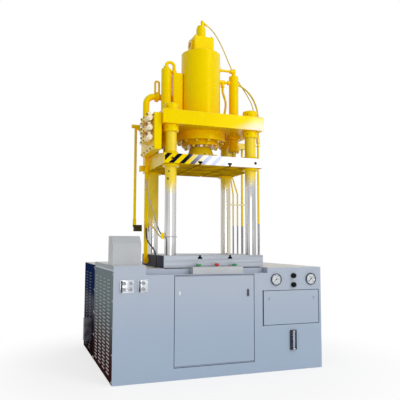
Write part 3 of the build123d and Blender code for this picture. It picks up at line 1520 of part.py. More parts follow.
def nodes():
    """Every node's name and body."""
    tie = column()
    front = [Pos(x, column_ys[0], 0) * tie for x in column_xs]
    rear = [Pos(x, column_ys[1], 0) * tie for x in column_xs]
    return {
        "base_frame": pedestal(),
        "bolster": bed(),
        "front_columns": group(front),
        "rear_columns": group(rear),
        "column_nuts": column_nuts(),
        "crown": crown(),
        "slide": slide(),
        "guide_bushes": guide_bushes(),
        "striker_plate": striker_plate(),
        "main_ram": main_ram(),
        "ram_flange": ram_flange(),
        "main_cylinder": main_cylinder(),
        "gland_flange": gland_flange(),
        "prefill_block": prefill_block(),
        "pilot_valve": pilot_valve(),
        "kicker_cylinder_left": kicker_cylinder(-kicker_offset, kicker_top_left),
        "kicker_cylinder_right": kicker_cylinder_right(),
        "kicker_rod_left": kicker_rod(-kicker_offset, kicker_top_left),
        "kicker_rod_right": kicker_rod(kicker_offset, kicker_top_right),
        "side_block": side_block(),
        "link_pipes": link_pipes(),
        "feed_pipe": feed_pipe(),
        "valve_manifold": valve_manifold(),
        "solenoid_valves": solenoid_valves(),
        "riser_pipes": riser_pipes(),
        "pipe_clamps": pipe_clamps(),
        "stroke_sensor": stroke_sensor(),
        "switch_bar": switch_bar(),
        "ejector_cylinder": ejector_cylinder(),
        "ejector_rod": ejector_rod(),
        "cabinet_frame": cabinet_frame(),
        "cabinet_top": cabinet_top(),
        "front_panel": front_panel(),
        "front_door": front_door(),
        "door_lock": door_lock(),
        "hatch_door": hatch_door(),
        "left_front_vents": vent_panel(cabinet_front + skin, vent_seam_y, front_vent_top, front_louvre_ys),
        "left_rear_vents": vent_panel(vent_seam_y + skin, cabinet_back, sheet_top, rear_louvre_ys),
        "rear_shell": rear_shell(),
        "gauge_cases": gauge_cases(),
        "needle_left": gauge_needle(gauge_xs[0]),
        "needle_right": gauge_needle(gauge_xs[1]),
        "level_gauge": level_gauge(),
        "upper_knob": control_knob(knob_zs[0]),
        "lower_knob": control_knob(knob_zs[1]),
        "oil_tank": oil_tank(),
        "motor": motor(),
        "pump": pump(),
        "coupling": coupling(),
        "control_box": control_box(),
        "two_hand_bar": two_hand_bar(),
        "palm_button_left": push_button(bar_x - button_offset, button_head_dia, button_head_height),
        "palm_button_right": push_button(bar_x + button_offset, button_head_dia, button_head_height),
        "stop_button": push_button(bar_x, stop_head_dia, stop_head_height),
        "power_inlet": power_inlet(),
        "pilot_hose": hose("pilot_hose", pilot_hose_route, pilot_hose_dia),
        "kicker_hose": hose("kicker_hose", kicker_hose_route, kicker_hose_dia),
        "side_hose": hose("side_hose", side_hose_route, side_hose_dia),
        "hose_fittings": hose_fittings(),
        "control_lines": control_lines(),
    }


def main():
    Path("parts").mkdir(exist_ok=True)
    for name, body in nodes().items():
        export_step(body, f"parts/{name}.step")


if __name__ == "__main__":
    main()
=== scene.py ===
"""Hydraulic press: paint, metal, fasteners, dials, glass, floor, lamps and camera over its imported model."""
import math

import bmesh
import bpy
from bpy.props import FloatProperty, FloatVectorProperty, IntProperty, PointerProperty
from bpy.types import NodeSocket, Operator, Panel, PropertyGroup
from mathutils import Matrix, Vector


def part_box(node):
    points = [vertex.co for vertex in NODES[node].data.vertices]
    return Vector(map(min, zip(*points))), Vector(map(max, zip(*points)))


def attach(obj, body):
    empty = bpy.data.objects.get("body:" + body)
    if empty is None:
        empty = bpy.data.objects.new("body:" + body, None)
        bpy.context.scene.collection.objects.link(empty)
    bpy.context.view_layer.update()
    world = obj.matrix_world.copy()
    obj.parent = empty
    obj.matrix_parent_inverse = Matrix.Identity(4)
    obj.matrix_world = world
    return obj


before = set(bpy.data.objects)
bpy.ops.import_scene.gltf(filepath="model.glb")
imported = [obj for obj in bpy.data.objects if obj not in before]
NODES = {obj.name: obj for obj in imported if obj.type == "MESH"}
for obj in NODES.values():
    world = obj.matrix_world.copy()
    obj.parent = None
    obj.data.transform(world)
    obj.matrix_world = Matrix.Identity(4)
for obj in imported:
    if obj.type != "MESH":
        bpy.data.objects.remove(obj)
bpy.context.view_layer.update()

bl_info = {
    "name": "Hydraulic Press Finish",
    "version": (1, 0, 0),
    "blender": (4, 5, 0),
    "location": "View3D > Sidebar > Press",
    "description": "Paint, metal and small fittings of a four-column hydraulic press",
    "category": "Object",
}

UPPER_WORKS = (
    "guide_bushes", "striker_plate", "ram_flange", "main_cylinder", "gland_flange", "prefill_block",
    "pilot_valve", "kicker_cylinder_left", "kicker_cylinder_right", "side_block", "link_pipes", "feed_pipe",
    "valve_manifold", "switch_bar", "hose_fittings",
)

# Places on the press and sizes of its fittings, in metres.
FRONT_FACE = -0.480
LEFT_SKIN = -0.898
GAUGES_ACROSS = (0.536, 0.887)
GAUGE_HEIGHT = 0.787
DIAL_PROUD = 0.005
DIAL_INK_PROUD = 0.0005
GLASS_PROUD = 0.0115
KICKERS_ACROSS = (-0.345, 0.345)
PREFILL_BOLTS = [(x, y) for x in (-0.082, 0.082) for y in (-0.080, 0.080)]
VALVE_HEIGHTS = (2.180, 2.095, 2.010)
VALVE_MIDDLE = -0.170
FLANGE_BOLT_RADIUS = 0.209
GLAND_BOLT_RADIUS = 0.156
CLAMP_BOLT_RADIUS = 0.155
KICKER_BOLT_RADIUS = 0.044
SOCKETS_HEIGHT = 0.759
SOCKET_PLATES = ((-0.788, 0.110, (-0.026, 0.026)), (-0.6585, 0.077, (0.0,)))
DOOR_TAG = (-0.350, 0.692)
VALVE_SCREWS_START = -0.216
VALVE_SCREWS_APART = 0.092
BLOCK_SCREWS_START = -0.320
BLOCK_SCREWS = ((1.925, 0.109, 5), (2.205, 0.436, 2))

# Boundaries between colours, in metres: the heights, widths or reaches where one ends and the next begins.
LEFT_HOODS = (-0.8995, -0.9015)
LEFT_SHEET_JOINT = (0.500, 0.5032)
INLET_GLAND_TOP = (0.1495, 0.1505)
BED_NUTS_TOP = (0.940, 0.960)
VALVE_BODY_END = (0.0595, 0.0605)
# Painted shadow: a brown band on each valve coil.
COIL_SHADOW_BAND = ((0.136, 0.1365), (0.1405, 0.141))
SENSOR_HEAD = (1.2765, 1.2775)
BLEACHED_STRIP = ((1.30, 1.31), (1.60, 1.70))
COLLAR_TOP = (1.29, 1.30)
COLLAR_SIDE = (-0.437, -0.436)
CABLE_SLEEVE = (1.245, 1.246)
RAM_COLLAR = (0.125, 0.140)
FOOT_GRIME = (0.16, 0.36)

# Chips on the front left column: centre and radius.
COLUMN_CHIPS = (((-0.411, -0.333, 1.718), 0.010), ((-0.417, -0.326, 1.656), 0.014))

# Tops of two control lines: which side of the bend slopes, the bend along Y, the slope and the level.
RETURN_LINE_TOP = ("MINIMUM", -0.05, 0.7, 1.2455)
DROP_LINE_TOP = ("MAXIMUM", -0.25, 1.06, 1.167)

# Directions of grinding and drawing, as scales of the streaks along X, Y and Z.
UPRIGHT_POLISH = (70.0, 70.0, 1.2)
ALONG_X = (2.0, 60.0, 60.0)

# Screw heads: height over diameter, (radius, height) shares, rings with six flats, segments.
SCREW_HEADS = {
    "cap": (0.62, ((1, 0), (1, 0.88), (0.88, 1), (0.56, 1), (0.56, 0.55), (0, 0.55)), (3, 4), 24),
    "hexagon": (0.55, ((1.12, 0), (1.12, 0.10), (1, 0.10), (1, 0.85), (0.84, 1), (0, 1)), (2, 3), 24),
    "pan": (0.36, ((1, 0), (0.94, 0.5), (0.72, 0.88), (0.40, 1), (0.30, 0.5), (0, 0.5)), (4,), 12),
}

WHITE = (1.0, 1.0, 1.0, 1.0)
YELLOW_SHEEN = (1.0, 0.72, 0.02)
YELLOW_RUBBED = (0.50, 0.36, 0.04)
GREY_RUBBED = (0.62, 0.63, 0.66)
UPRIGHT = Matrix.Identity(4)
HANGING = Matrix.Rotation(math.pi, 4, "X")


# Settings.

def tone(label, text, value):
    """A colour property."""
    return FloatVectorProperty(name=label, description=text, default=value, subtype="COLOR", min=0, max=1)


def length(label, text, value):
    """A length property in metres."""
    return FloatProperty(name=label, description=text, default=value, unit="LENGTH", min=0)


def number(label, text, value, unit="NONE"):
    """A number property of any sign."""
    return FloatProperty(name=label, description=text, default=value, unit=unit)


def count(label, text, value, least):
    """A whole number property."""
    return IntProperty(name=label, description=text, default=value, min=least)


class PressPaints(PropertyGroup):
    """Colours and paint edges of the press."""
    yellow: tone("Yellow enamel", "Enamel on the upper works", (0.78, 0.585, 0.0))
    yellow_shade: tone("Yellow shade", "Darker patches in the yellow enamel", (0.74, 0.50, 0.0))
    # Painted shade: a warmer orange yellow for the hollows between parts, standing in for light bounced between
    # yellow surfaces.
    yellow_hollow_shade: tone("Yellow hollow", "Warmer yellow between the parts", (0.95, 0.50, 0.0))
    valve_cream: tone("Valve cream", "Faded caps and plugs of the valves", (0.84, 0.74, 0.52))
    # Painted shade: a dark line round the doors that stands in for the shadow in their gaps.
    seam_shade: tone("Seam grime", "Soil along the joints of the doors", (0.035, 0.05, 0.11))
    stripe_black: tone("Stripe black", "Dark bars on the slide's front", (0.006, 0.006, 0.016))
    # Painted glare: the right part of the slide's front is pale, with the bars showing faintly through.
    stripe_glare: tone("Washed bars", "Bars where the slide's front is bleached", (0.50, 0.58, 0.86))
    slide_glare: tone("Bleached paint", "Pale ground at the right end of the slide", (0.90, 0.91, 0.95))
    # Painted highlight: pale cream glare over the lower right of the crown's front.
    crown_glare: tone("Cream fade", "Bleached corner of the crown's front", (0.80, 0.69, 0.62))
    # Partly dust, partly painted reflection: the paler upper part of the front sheets stands in for their gloss.
    cabinet_high_dust_and_reflection: tone("Cabinet, high", "Dusty upper part of the front sheets", (0.375, 0.42, 0.50))
    cabinet_low: tone("Cabinet, low", "Lower part of the front sheets", (0.32, 0.395, 0.50))
    # The left sheets' tones are darker than the front sheets', partly as painted shade of the left side; their
    # brown foot is a painted reflection of the floor.
    side_high: tone("Side sheet, high", "Upper part of the left front sheet", (0.22, 0.27, 0.285))
    side_low_floor_reflection: tone("Side sheet, low", "Soiled foot of the left sheets", (0.050, 0.018, 0.018))
    side_rear: tone("Rear sheet", "Left rear sheet", (0.010, 0.022, 0.085))
    # Painted highlight on the louvre hoods.
    hood_highlight: tone("Hood rub", "Paint rubbed pale on the louvre hoods", (0.46, 0.53, 0.52))
    top_sheet: tone("Top sheet", "Top of the cabinet", (0.57, 0.56, 0.53))
    chrome: tone("Chrome", "Hard chrome of columns and rods", (0.70, 0.70, 0.70))
    ground_steel: tone("Ground steel", "Machined faces of the bed", (0.42, 0.455, 0.51))
    stripe_pitch: length("Stripe pitch", "Spacing of the bars on the slide's front", 0.095)
    stripe_edge: number("First bar's edge", "Right edge of the first bar, at its top", -0.392, "LENGTH")
    left_paint_end: length("Left paint end", "Where overspray ends on the front left column", 1.545)
    right_paint_end: length("Right paint end", "Where overspray ends on the right columns", 1.635)
    rear_paint_end: length("Rear paint end", "Where overspray ends on the rear left column", 1.27)
    riser_paint_end: length("Riser paint end", "Where the riser pipes change from paint to bare steel", 1.285)


class PressFittings(PropertyGroup):
    """Sizes of the small fittings."""
    flange_bolts: count("Flange bolts", "Cap screws under the cylinder flange", 12, 4)
    gland_bolts: count("Gland bolts", "Cap screws under the gland flange", 8, 4)
    clamp_bolts: count("Clamp bolts", "Hexagon bolts on the ram's clamp ring", 8, 4)
    kicker_bolts: count("Kicker bolts", "Cap screws under each kicker cylinder", 6, 3)
    cap_screw: length("Cap screw", "Head diameter of the flange cap screws", 0.028)
    small_cap_screw: length("Small cap screw", "Head diameter of the valve and kicker screws", 0.014)
    prefill_screw: length("Prefill screw", "Head diameter of the screws on the prefill block", 0.022)
    clamp_bolt: length("Clamp bolt", "Head diameter of the clamp bolts", 0.034)
    sheet_screw: length("Sheet screw", "Head diameter of the sheet screws", 0.011)
    screw_pitch: length("Screw pitch", "Spacing of the sheet screws", 0.21)
    dial_marks: count("Dial marks", "Marks on a gauge dial", 41, 11)
    ferrule_ribs: count("Ferrule ribs", "Crimp ribs on a hose ferrule", 5, 2)


class PressStage(PropertyGroup):
    """Camera, lamps and floor."""
    image_focus: number("Focus", "Focal length in image widths", 506.3 / 400)
    turn: number("Turn", "Camera turn to the right", math.radians(20.0), "ROTATION")
    tilt: number("Tilt", "Camera tilt upwards", math.radians(4.862), "ROTATION")
    roll: number("Roll", "Camera roll", math.radians(0.207), "ROTATION")
    eye: FloatVectorProperty(name="Eye", description="Camera place", default=(-1.633, -4.477, 1.104),
                             subtype="XYZ", unit="LENGTH")
    key_power: number("Key lamp", "Power of the large lamp", 275.0, "POWER")
    fill_power: number("Fill lamp", "Power of the low front lamp", 105.0, "POWER")
    highlight_power: number("Highlight lamp", "Power of the small lamp", 45.0, "POWER")
    room_light: number("Room light", "Strength of the light from all round", 0.74)
    floor_tone: tone("Floor", "Colour of the floor", (0.90, 0.90, 0.90))


# Node parts.

def wire(tree, socket, value):
    """Link a socket to the value, or set it. A colour gets full alpha."""
    if isinstance(value, NodeSocket):
        tree.links.new(value, socket)
    else:
        socket.default_value = (*value[:3], 1.0) if socket.type == "RGBA" else value


def add_node(tree, kind, inputs, **options):
    """A node with its options and inputs set; gives its outputs."""
    made = tree.nodes.new(kind)
    for option, value in options.items():
        setattr(made, option, value)
    for key, value in dict(inputs).items():
        wire(tree, made.inputs[key], value)
    return made.outputs


def figure(tree, operation, *values):
    """A Math node's result."""
    return add_node(tree, "ShaderNodeMath", enumerate(values), operation=operation)[0]


def spread(tree, value, low, high, start=0.0, end=1.0):
    """The value mapped smoothly from low..high to start..end."""
    return add_node(tree, "ShaderNodeMapRange", enumerate((value, low, high, start, end)),
                    interpolation_type="SMOOTHSTEP")[0]


def within(tree, value, rise, fall):
    """1 between two limits, each a (from, to) pair, and 0 outside them."""
    return figure(tree, "MULTIPLY", spread(tree, value, *rise), spread(tree, value, *fall, 1.0, 0.0))


def mix_colour(tree, share, first, second):
    """Two colours mixed by a share of the second."""
    return add_node(tree, "ShaderNodeMix", {0: share, 6: first, 7: second}, data_type="RGBA")[2]


def mix_value(tree, share, first, second):
    """Two numbers mixed by a share of the second."""
    return add_node(tree, "ShaderNodeMix", {0: share, 2: first, 3: second}, data_type="FLOAT")[0]


def dim(colour, share):
    """A plain colour times a number."""
    return [share * part for part in colour]


def object_place(tree):
    """Object coordinates."""
    return tree.nodes.new("ShaderNodeTexCoord").outputs["Object"]


def axes(tree, vector):
    """The three numbers of a vector."""
    return add_node(tree, "ShaderNodeSeparateXYZ", {0: vector})


def object_axes(tree):
    """X, Y and Z of the object coordinates."""
    return axes(tree, object_place(tree))


def facing(tree, axis, sign):
    """1 where the face looks along an axis of the object, 0 elsewhere."""
    normal = axes(tree, tree.nodes.new("ShaderNodeTexCoord").outputs["Normal"])[axis]
    return spread(tree, figure(tree, "MULTIPLY", normal, sign), 0.6, 0.8)


def noise(tree, vector, scale, detail=3.0):
    """A noise value."""
    return add_node(tree, "ShaderNodeTexNoise", {"Vector": vector, "Scale": scale, "Detail": detail})[0]


def stretched(tree, vector, scale):
    """The vector with its axes scaled."""
    return add_node(tree, "ShaderNodeMapping", {"Vector": vector, "Scale": scale})[0]


def spot(tree, centre, radius):
    """1 inside a ragged ball round a place on the piece."""
    place = object_place(tree)
    gap = add_node(tree, "ShaderNodeVectorMath", {0: place, 1: centre}, operation="DISTANCE")["Value"]
    ragged = figure(tree, "MULTIPLY_ADD", noise(tree, place, 90.0), radius * 1.4, gap)
    return spread(tree, ragged, radius * 1.25, radius * 1.55, 1.0, 0.0)


def bump(tree, height, strength, distance):
    """A normal from a height."""
    return add_node(tree, "ShaderNodeBump", {"Height": height, "Strength": strength, "Distance": distance})[0]


def socket_kind(value):
    """The kind of socket that a default value needs; a string is the kind itself."""
    if isinstance(value, str):
        return value
    if isinstance(value, tuple):
        return "Color" if len(value) == 4 else "Vector"
    return "Int" if isinstance(value, int) else "Float"


def node_group(tree_kind, name, takes, gives):
    """A new node group, with its inputs' defaults and its outputs' kinds by name."""
    tree = bpy.data.node_groups.new(name, tree_kind)
    for label, value in takes.items():
        kind = "NodeSocket" + socket_kind(value)
        socket = tree.interface.new_socket(label, in_out="INPUT", socket_type=kind)
        if not isinstance(value, str):
            socket.default_value = value
    for label, kind in gives.items():
        tree.interface.new_socket(label, in_out="OUTPUT", socket_type="NodeSocket" + kind)
    return tree, tree.nodes.new("NodeGroupInput").outputs, tree.nodes.new("NodeGroupOutput").inputs


def spaced(values):
    """Keywords as labels: underscores stand for spaces."""
    return {label.replace("_", " "): value for label, value in values.items()}


def mask_group(name, **takes):
    """A shader group that gives one mask."""
    tree, takes, gives = node_group("ShaderNodeTree", name, spaced(takes), {"Mask": "Float"})
    return tree, takes, gives["Mask"]


# Shader groups.

def make_paint_film():
    """Brushed-on enamel: patches of a second tone, uneven gloss and orange peel."""
    tree, takes, gives = node_group(
        "ShaderNodeTree", "Paint film",
        {"Colour": WHITE, "Shade": WHITE, "Patch scale": 3.0, "Patch share": 0.4, "Peel scale": 220.0},
        {"Colour": "Color", "Gloss": "Float", "Height": "Float"})
    place = object_place(tree)
    patches = spread(tree, noise(tree, place, takes["Patch scale"], 5.0), 0.35, 0.70)
    share = figure(tree, "MULTIPLY", patches, takes["Patch share"])
    wire(tree, gives["Colour"], mix_colour(tree, share, takes["Colour"], takes["Shade"]))
    wire(tree, gives["Gloss"], spread(tree, noise(tree, place, 17.0), 0.3, 0.7))
    wire(tree, gives["Height"], noise(tree, place, takes["Peel scale"], 1.0))


def make_drawn_streaks():
    """Fine lines along one direction, as grinding, drawing or polishing leaves."""
    tree, takes, gives = node_group("ShaderNodeTree", "Drawn streaks", {"Scale": (60.0, 60.0, 1.5)},
                                    {"Streak": "Float", "Height": "Float"})
    place = stretched(tree, object_place(tree), takes["Scale"])
    wire(tree, gives["Streak"], spread(tree, noise(tree, place, 1.0, 1.5), 0.32, 0.68))
    wire(tree, gives["Height"], noise(tree, place, 4.0, 2.0))


def make_edge_wear():
    """Paint or finish rubbed off along the edges, broken up by noise."""
    tree, takes, mask = mask_group("Edge wear", Radius=0.003, Share=0.5, Break_up=40.0)
    rounded = add_node(tree, "ShaderNodeBevel", {"Radius": takes["Radius"]}, samples=4)[0]
    normal = tree.nodes.new("ShaderNodeNewGeometry").outputs["Normal"]
    turn = add_node(tree, "ShaderNodeVectorMath", {0: rounded, 1: normal}, operation="DOT_PRODUCT")["Value"]
    edge = spread(tree, turn, 0.98, 0.80)
    broken = spread(tree, noise(tree, object_place(tree), takes["Break up"], 4.0), 0.42, 0.58)
    wire(tree, mask, figure(tree, "MULTIPLY", figure(tree, "MULTIPLY", edge, broken), takes["Share"]))


def make_hollows():
    """How deep a place lies between its neighbours: 0 in the open, 1 in a narrow gap."""
    tree, takes, mask = mask_group("Hollows", Reach=0.3)
    open_sky = add_node(tree, "ShaderNodeAmbientOcclusion", {"Distance": takes["Reach"]}, samples=16)["AO"]
    wire(tree, mask, spread(tree, open_sky, 0.15, 0.90, 1.0, 0.0))


def make_height_fade():
    """0 below one height and 1 above another, with a ragged sprayed boundary between them."""
    tree, takes, mask = mask_group("Height fade", Low=0.0, High=1.0, Ragged=0.02, Grain=20.0)
    place = object_place(tree)
    spray = noise(tree, stretched(tree, place, (1.0, 1.0, 0.3)), takes["Grain"])
    waver = figure(tree, "SUBTRACT", spray, 0.5)
    level = figure(tree, "MULTIPLY_ADD", waver, takes["Ragged"], axes(tree, place)[2])
    wire(tree, mask, spread(tree, level, takes["Low"], takes["High"]))


def make_hazard_bars():
    """Slanting bars at 45 degrees over X and Z."""
    tree, takes, mask = mask_group("Hazard bars", Pitch=0.095, Start=0.0)
    across, _, height = object_axes(tree)
    slant = figure(tree, "SUBTRACT", figure(tree, "SUBTRACT", across, height), takes["Start"])
    phase = figure(tree, "FRACT", figure(tree, "DIVIDE", slant, takes["Pitch"]))
    wire(tree, mask, within(tree, phase, (0.49, 0.52), (0.97, 1.0)))


def make_seam_line():
    """A dark line along the outline of a door, over X and Z, painted as the shade of its gap."""
    tree, takes, mask = mask_group("Seam line", Middle=(0.0, 0.0, 0.0), Half=(0.3, 0.0, 0.3), Width=0.004)
    place = object_axes(tree)
    middle = axes(tree, takes["Middle"])
    half = axes(tree, takes["Half"])
    past = []
    for axis in (0, 2):
        off = figure(tree, "ABSOLUTE", figure(tree, "SUBTRACT", place[axis], middle[axis]))
        past.append(figure(tree, "SUBTRACT", off, half[axis]))
    gap = figure(tree, "ABSOLUTE", figure(tree, "MAXIMUM", *past))
    wire(tree, mask, spread(tree, figure(tree, "DIVIDE", gap, takes["Width"]), 0.7, 1.5, 1.0, 0.0))


def make_specks():
    """Small scattered specks of dust, rust or chips."""
    tree, takes, mask = mask_group("Specks", Scale=60.0, Share=0.5)
    place = object_place(tree)
    cells = add_node(tree, "ShaderNodeTexVoronoi", {"Vector": place, "Scale": takes["Scale"]})["Distance"]
    dots = spread(tree, cells, 0.10, 0.22, 1.0, 0.0)
    fields = spread(tree, noise(tree, place, 9.0), 0.48, 0.62)
    wire(tree, mask, figure(tree, "MULTIPLY", figure(tree, "MULTIPLY", dots, fields), takes["Share"]))


def run_group(tree, name, **values):
    """Place a group in a tree. Gives its outputs by name."""
    return add_node(tree, "ShaderNodeGroup", spaced(values), node_tree=bpy.data.node_groups[name])


def paint_film(tree, colour, shade, patch_scale, patch_share, peel_scale=220.0):
    """The outputs of a paint film."""
    return run_group(tree, "Paint film", Colour=colour, Shade=shade, Patch_scale=patch_scale,
                     Patch_share=patch_share, Peel_scale=peel_scale)


def edge_wear(tree, share, radius=0.003):
    """1 where an edge is rubbed."""
    return run_group(tree, "Edge wear", Share=share, Radius=radius)["Mask"]


def fade(tree, low, high, ragged=0.02, grain=20.0):
    """0 below one height and 1 above another."""
    return run_group(tree, "Height fade", Low=low, High=high, Ragged=ragged, Grain=grain)["Mask"]


def seam(tree, middle, half, width):
    """1 on the outline of a door."""
    return run_group(tree, "Seam line", Middle=middle, Half=half, Width=width)["Mask"]


def hollow(tree, reach):
    """1 in a narrow gap."""
    return run_group(tree, "Hollows", Reach=reach)["Mask"]


def tee_slot_shade(tree):
    """1 deep inside the tee slots of bed and slide, which are painted black as shade."""
    return spread(tree, hollow(tree, 0.05), 0.50, 0.75)


# Finishes.

def new_finish(name):
    """A new material with its tree and shader."""
    finish = bpy.data.materials.new(name)
    finish.use_nodes = True
    return finish, finish.node_tree, finish.node_tree.nodes["Principled BSDF"]


def set_shader(tree, shader, values):
    """Link or set the shader's inputs by name."""
    for name, value in values.items():
        wire(tree, shader.inputs[name], value)


def enamel(name, colour, shade, patch_scale=3.0, patch_share=0.4, rough=0.34, coat=0.0, gloss=0.22, wear=0.0,
           worn=(0.3, 0.3, 0.3), recolour=None, sheen_tone=WHITE):
    """Enamel. recolour(tree, colour) may change its colour over the piece, sheen_tone colours its gloss."""
    finish, tree, shader = new_finish(name)
    film = paint_film(tree, colour, shade, patch_scale, patch_share)
    paint = recolour(tree, film["Colour"]) if recolour else film["Colour"]
    if wear:
        paint = mix_colour(tree, edge_wear(tree, wear), paint, worn)
    set_shader(tree, shader, {
        "Base Color": paint, "Roughness": spread(tree, film["Gloss"], 0.0, 1.0, rough - 0.02, rough + 0.04),
        "Normal": bump(tree, film["Height"], 0.08, 0.0005), "Specular IOR Level": gloss,
        "Specular Tint": sheen_tone, "Coat Weight": coat, "Coat Roughness": 0.12})
    return finish


def yellow_enamel(name, paints, recolour=None, **details):
    """The yellow enamel of the upper works, with a warm gloss and painted shade: a warmer orange tone in its
    hollows.
    """
    looks = {"patch_scale": 2.4, "rough": 0.24, "gloss": 0.4, "sheen_tone": YELLOW_SHEEN, **details}

    def hollow_shaded(tree, paint):
        # Painted shade: the hollows between parts turn a warmer orange.
        paint = mix_colour(tree, hollow(tree, 0.35), paint, paints.yellow_hollow_shade)
        return recolour(tree, paint) if recolour else paint

    return enamel(name, paints.yellow, paints.yellow_shade, recolour=hollow_shaded, **looks)


def bare_metal(name, colour, rough, scale, wear=0.0, dirt=0.3, recolour=None, metallic=1.0, dull_where=None):
    """Ground, drawn or plated metal with streaks, stains and specks, dull where dull_where(tree) gives 1."""
    finish, tree, shader = new_finish(name)
    lines = run_group(tree, "Drawn streaks", Scale=scale)
    base = mix_colour(tree, lines["Streak"], dim(colour, 0.78), colour)
    stains = run_group(tree, "Specks", Scale=38.0, Share=dirt)["Mask"]
    base = mix_colour(tree, stains, base, (0.10, 0.07, 0.05))
    if recolour:
        base = recolour(tree, base)
    if wear:
        base = mix_colour(tree, edge_wear(tree, wear, 0.002), base, (0.85, 0.85, 0.86))
    polish = spread(tree, lines["Streak"], 0.0, 1.0, rough, rough + 0.14)
    if dull_where:
        dull = dull_where(tree)
        polish = mix_value(tree, dull, polish, 0.7)
        metallic = mix_value(tree, dull, metallic, 0.0)
    set_shader(tree, shader, {"Base Color": base, "Metallic": metallic, "Roughness": polish,
                              "Normal": bump(tree, lines["Height"], 0.12, 0.0004)})
    return finish


def part_painted(name, paints, painted_where, colour, rough, scale, marks=None):
    """Bare metal, yellow enamel where painted_where(tree) gives 1. marks(tree, colour) may add scuffs."""
    finish, tree, shader = new_finish(name)
    film = paint_film(tree, paints.yellow, paints.yellow_shade, 9.0, 0.5)
    lines = run_group(tree, "Drawn streaks", Scale=scale)
    painted = painted_where(tree)
    bare = mix_colour(tree, lines["Streak"], dim(colour, 0.62), colour)
    base = mix_colour(tree, painted, bare, film["Colour"])
    if marks:
        base = marks(tree, base)
    polish = spread(tree, lines["Streak"], 0.0, 1.0, rough, rough + 0.10)
    set_shader(tree, shader, {
        "Base Color": base, "Metallic": figure(tree, "SUBTRACT", 1.0, painted),
        "Roughness": mix_value(tree, painted, polish, 0.33),
        "Normal": bump(tree, figure(tree, "MULTIPLY", film["Height"], painted), 0.08, 0.0005)})
    return finish


def moulded(name, colour, rough, gloss=0.4, recolour=None):
    """Moulded plastic or rubber with a fine grain."""
    finish, tree, shader = new_finish(name)
    paler = [min(1.0, 1.25 * part + 0.01) for part in colour]
    film = paint_film(tree, colour, paler, 25.0, 0.5, 500.0)
    set_shader(tree, shader, {
        "Base Color": recolour(tree, film["Colour"]) if recolour else film["Colour"],
        "Roughness": spread(tree, film["Gloss"], 0.0, 1.0, rough - 0.05, rough + 0.08),
        "Normal": bump(tree, film["Height"], 0.15, 0.0004), "Specular IOR Level": gloss})
    return finish


def clear_glass(name, tint):
    """Clear window glass with faint smears in its gloss."""
    finish, tree, shader = new_finish(name)
    film = paint_film(tree, tint, dim(tint, 0.94), 30.0, 0.6)
    set_shader(tree, shader, {"Base Color": film["Colour"], "Transmission Weight": 1.0, "IOR": 1.45,
                              "Roughness": spread(tree, film["Gloss"], 0.0, 1.0, 0.01, 0.07)})
    return finish


def dress(finish, *names):
    """Give CAD nodes a finish."""
    for name in names:
        piece = NODES[name]
        if not piece.material_slots:
            piece.data.materials.append(finish)
        for slot in piece.material_slots:
            slot.material = finish


# Mesh parts.

def lathe(outline, hexagonal=(), segments=32):
    """A mesh turned about Z from (radius, height) pairs. Rings whose index is in hexagonal have six flats."""
    shape = bmesh.new()
    rings = []
    for index, (radius, height) in enumerate(outline):
        ring = []
        for step in range(segments if radius else 1):
            angle = math.tau * step / segments
            reach = radius
            if index in hexagonal:
                reach *= math.cos(math.pi / 6) / math.cos(angle % (math.pi / 3) - math.pi / 6)
            ring.append(shape.verts.new((reach * math.cos(angle), reach * math.sin(angle), height)))
        rings.append(ring)
    for low, high in zip(rings, rings[1:]):
        for step in range(segments):
            steps = ((low, step), (low, step + 1), (high, step + 1), (high, step))
            corners = list(dict.fromkeys(ring[index % len(ring)] for ring, index in steps))
            if len(corners) > 2:
                shape.faces.new(corners)
    return finished_mesh(shape)


def finished_mesh(shape):
    """A mesh from a bmesh: doubles merged, faces outward, smooth with sharp edges kept."""
    bmesh.ops.remove_doubles(shape, verts=shape.verts, dist=1e-6)
    bmesh.ops.recalc_face_normals(shape, faces=shape.faces)
    for face in shape.faces:
        face.smooth = True
    mesh = bpy.data.meshes.new("shape")
    shape.to_mesh(mesh)
    shape.free()
    mesh.set_sharp_from_angle(angle=math.radians(34))
    return mesh


def screw_head(kind, dia):
    """A screw head standing on Z = 0."""
    tall, outline, hexagonal, segments = SCREW_HEADS[kind]
    return lathe([(share * dia / 2, rise * tall * dia) for share, rise in outline], hexagonal, segments)


def slab(size, centre, rounding):
    """A block with rounded edges."""
    shape = bmesh.new()
    bmesh.ops.create_cube(shape, size=1.0, matrix=Matrix.Translation(centre) @ Matrix.Diagonal((*size, 1.0)))
    bmesh.ops.bevel(shape, geom=shape.edges[:], offset=rounding, segments=3, affect="EDGES", profile=0.5)
    return finished_mesh(shape)


def link_object(name, data):
    """A new object in the scene."""
    piece = bpy.data.objects.new(name, data)
    bpy.context.scene.collection.objects.link(piece)
    return piece


def evaluated_mesh(carrier):
    """The plain mesh that an object evaluates to."""
    graph = bpy.context.evaluated_depsgraph_get()
    return bpy.data.meshes.new_from_object(carrier.evaluated_get(graph))


def plain_figure(text, height, thickness):
    """A number as a thin mesh, centred on its place."""
    curve = bpy.data.curves.new("dial_number", "FONT")
    curve.body = text
    curve.size = height
    curve.align_x = "CENTER"
    curve.align_y = "CENTER"
    curve.extrude = thickness / 2
    curve.resolution_u = 3
    carrier = link_object("dial_number", curve)
    mesh = evaluated_mesh(carrier)
    bpy.data.objects.remove(carrier)
    return mesh


def join(name, parts, finishes, body):
    """One piece from (mesh, place, finish index) parts, riding on a body."""
    shape = bmesh.new()
    for mesh, place, index in parts:
        moved = mesh.copy()
        moved.transform(place)
        for face in moved.polygons:
            face.material_index = index
        shape.from_mesh(moved)
        bpy.data.meshes.remove(moved)
    mesh = bpy.data.meshes.new(name)
    shape.to_mesh(mesh)
    shape.free()
    for finish in finishes:
        mesh.materials.append(finish)
    piece = link_object(name, mesh)
    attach(piece, body)


def at(x, y, z):
    """A place."""
    return Matrix.Translation((x, y, z))


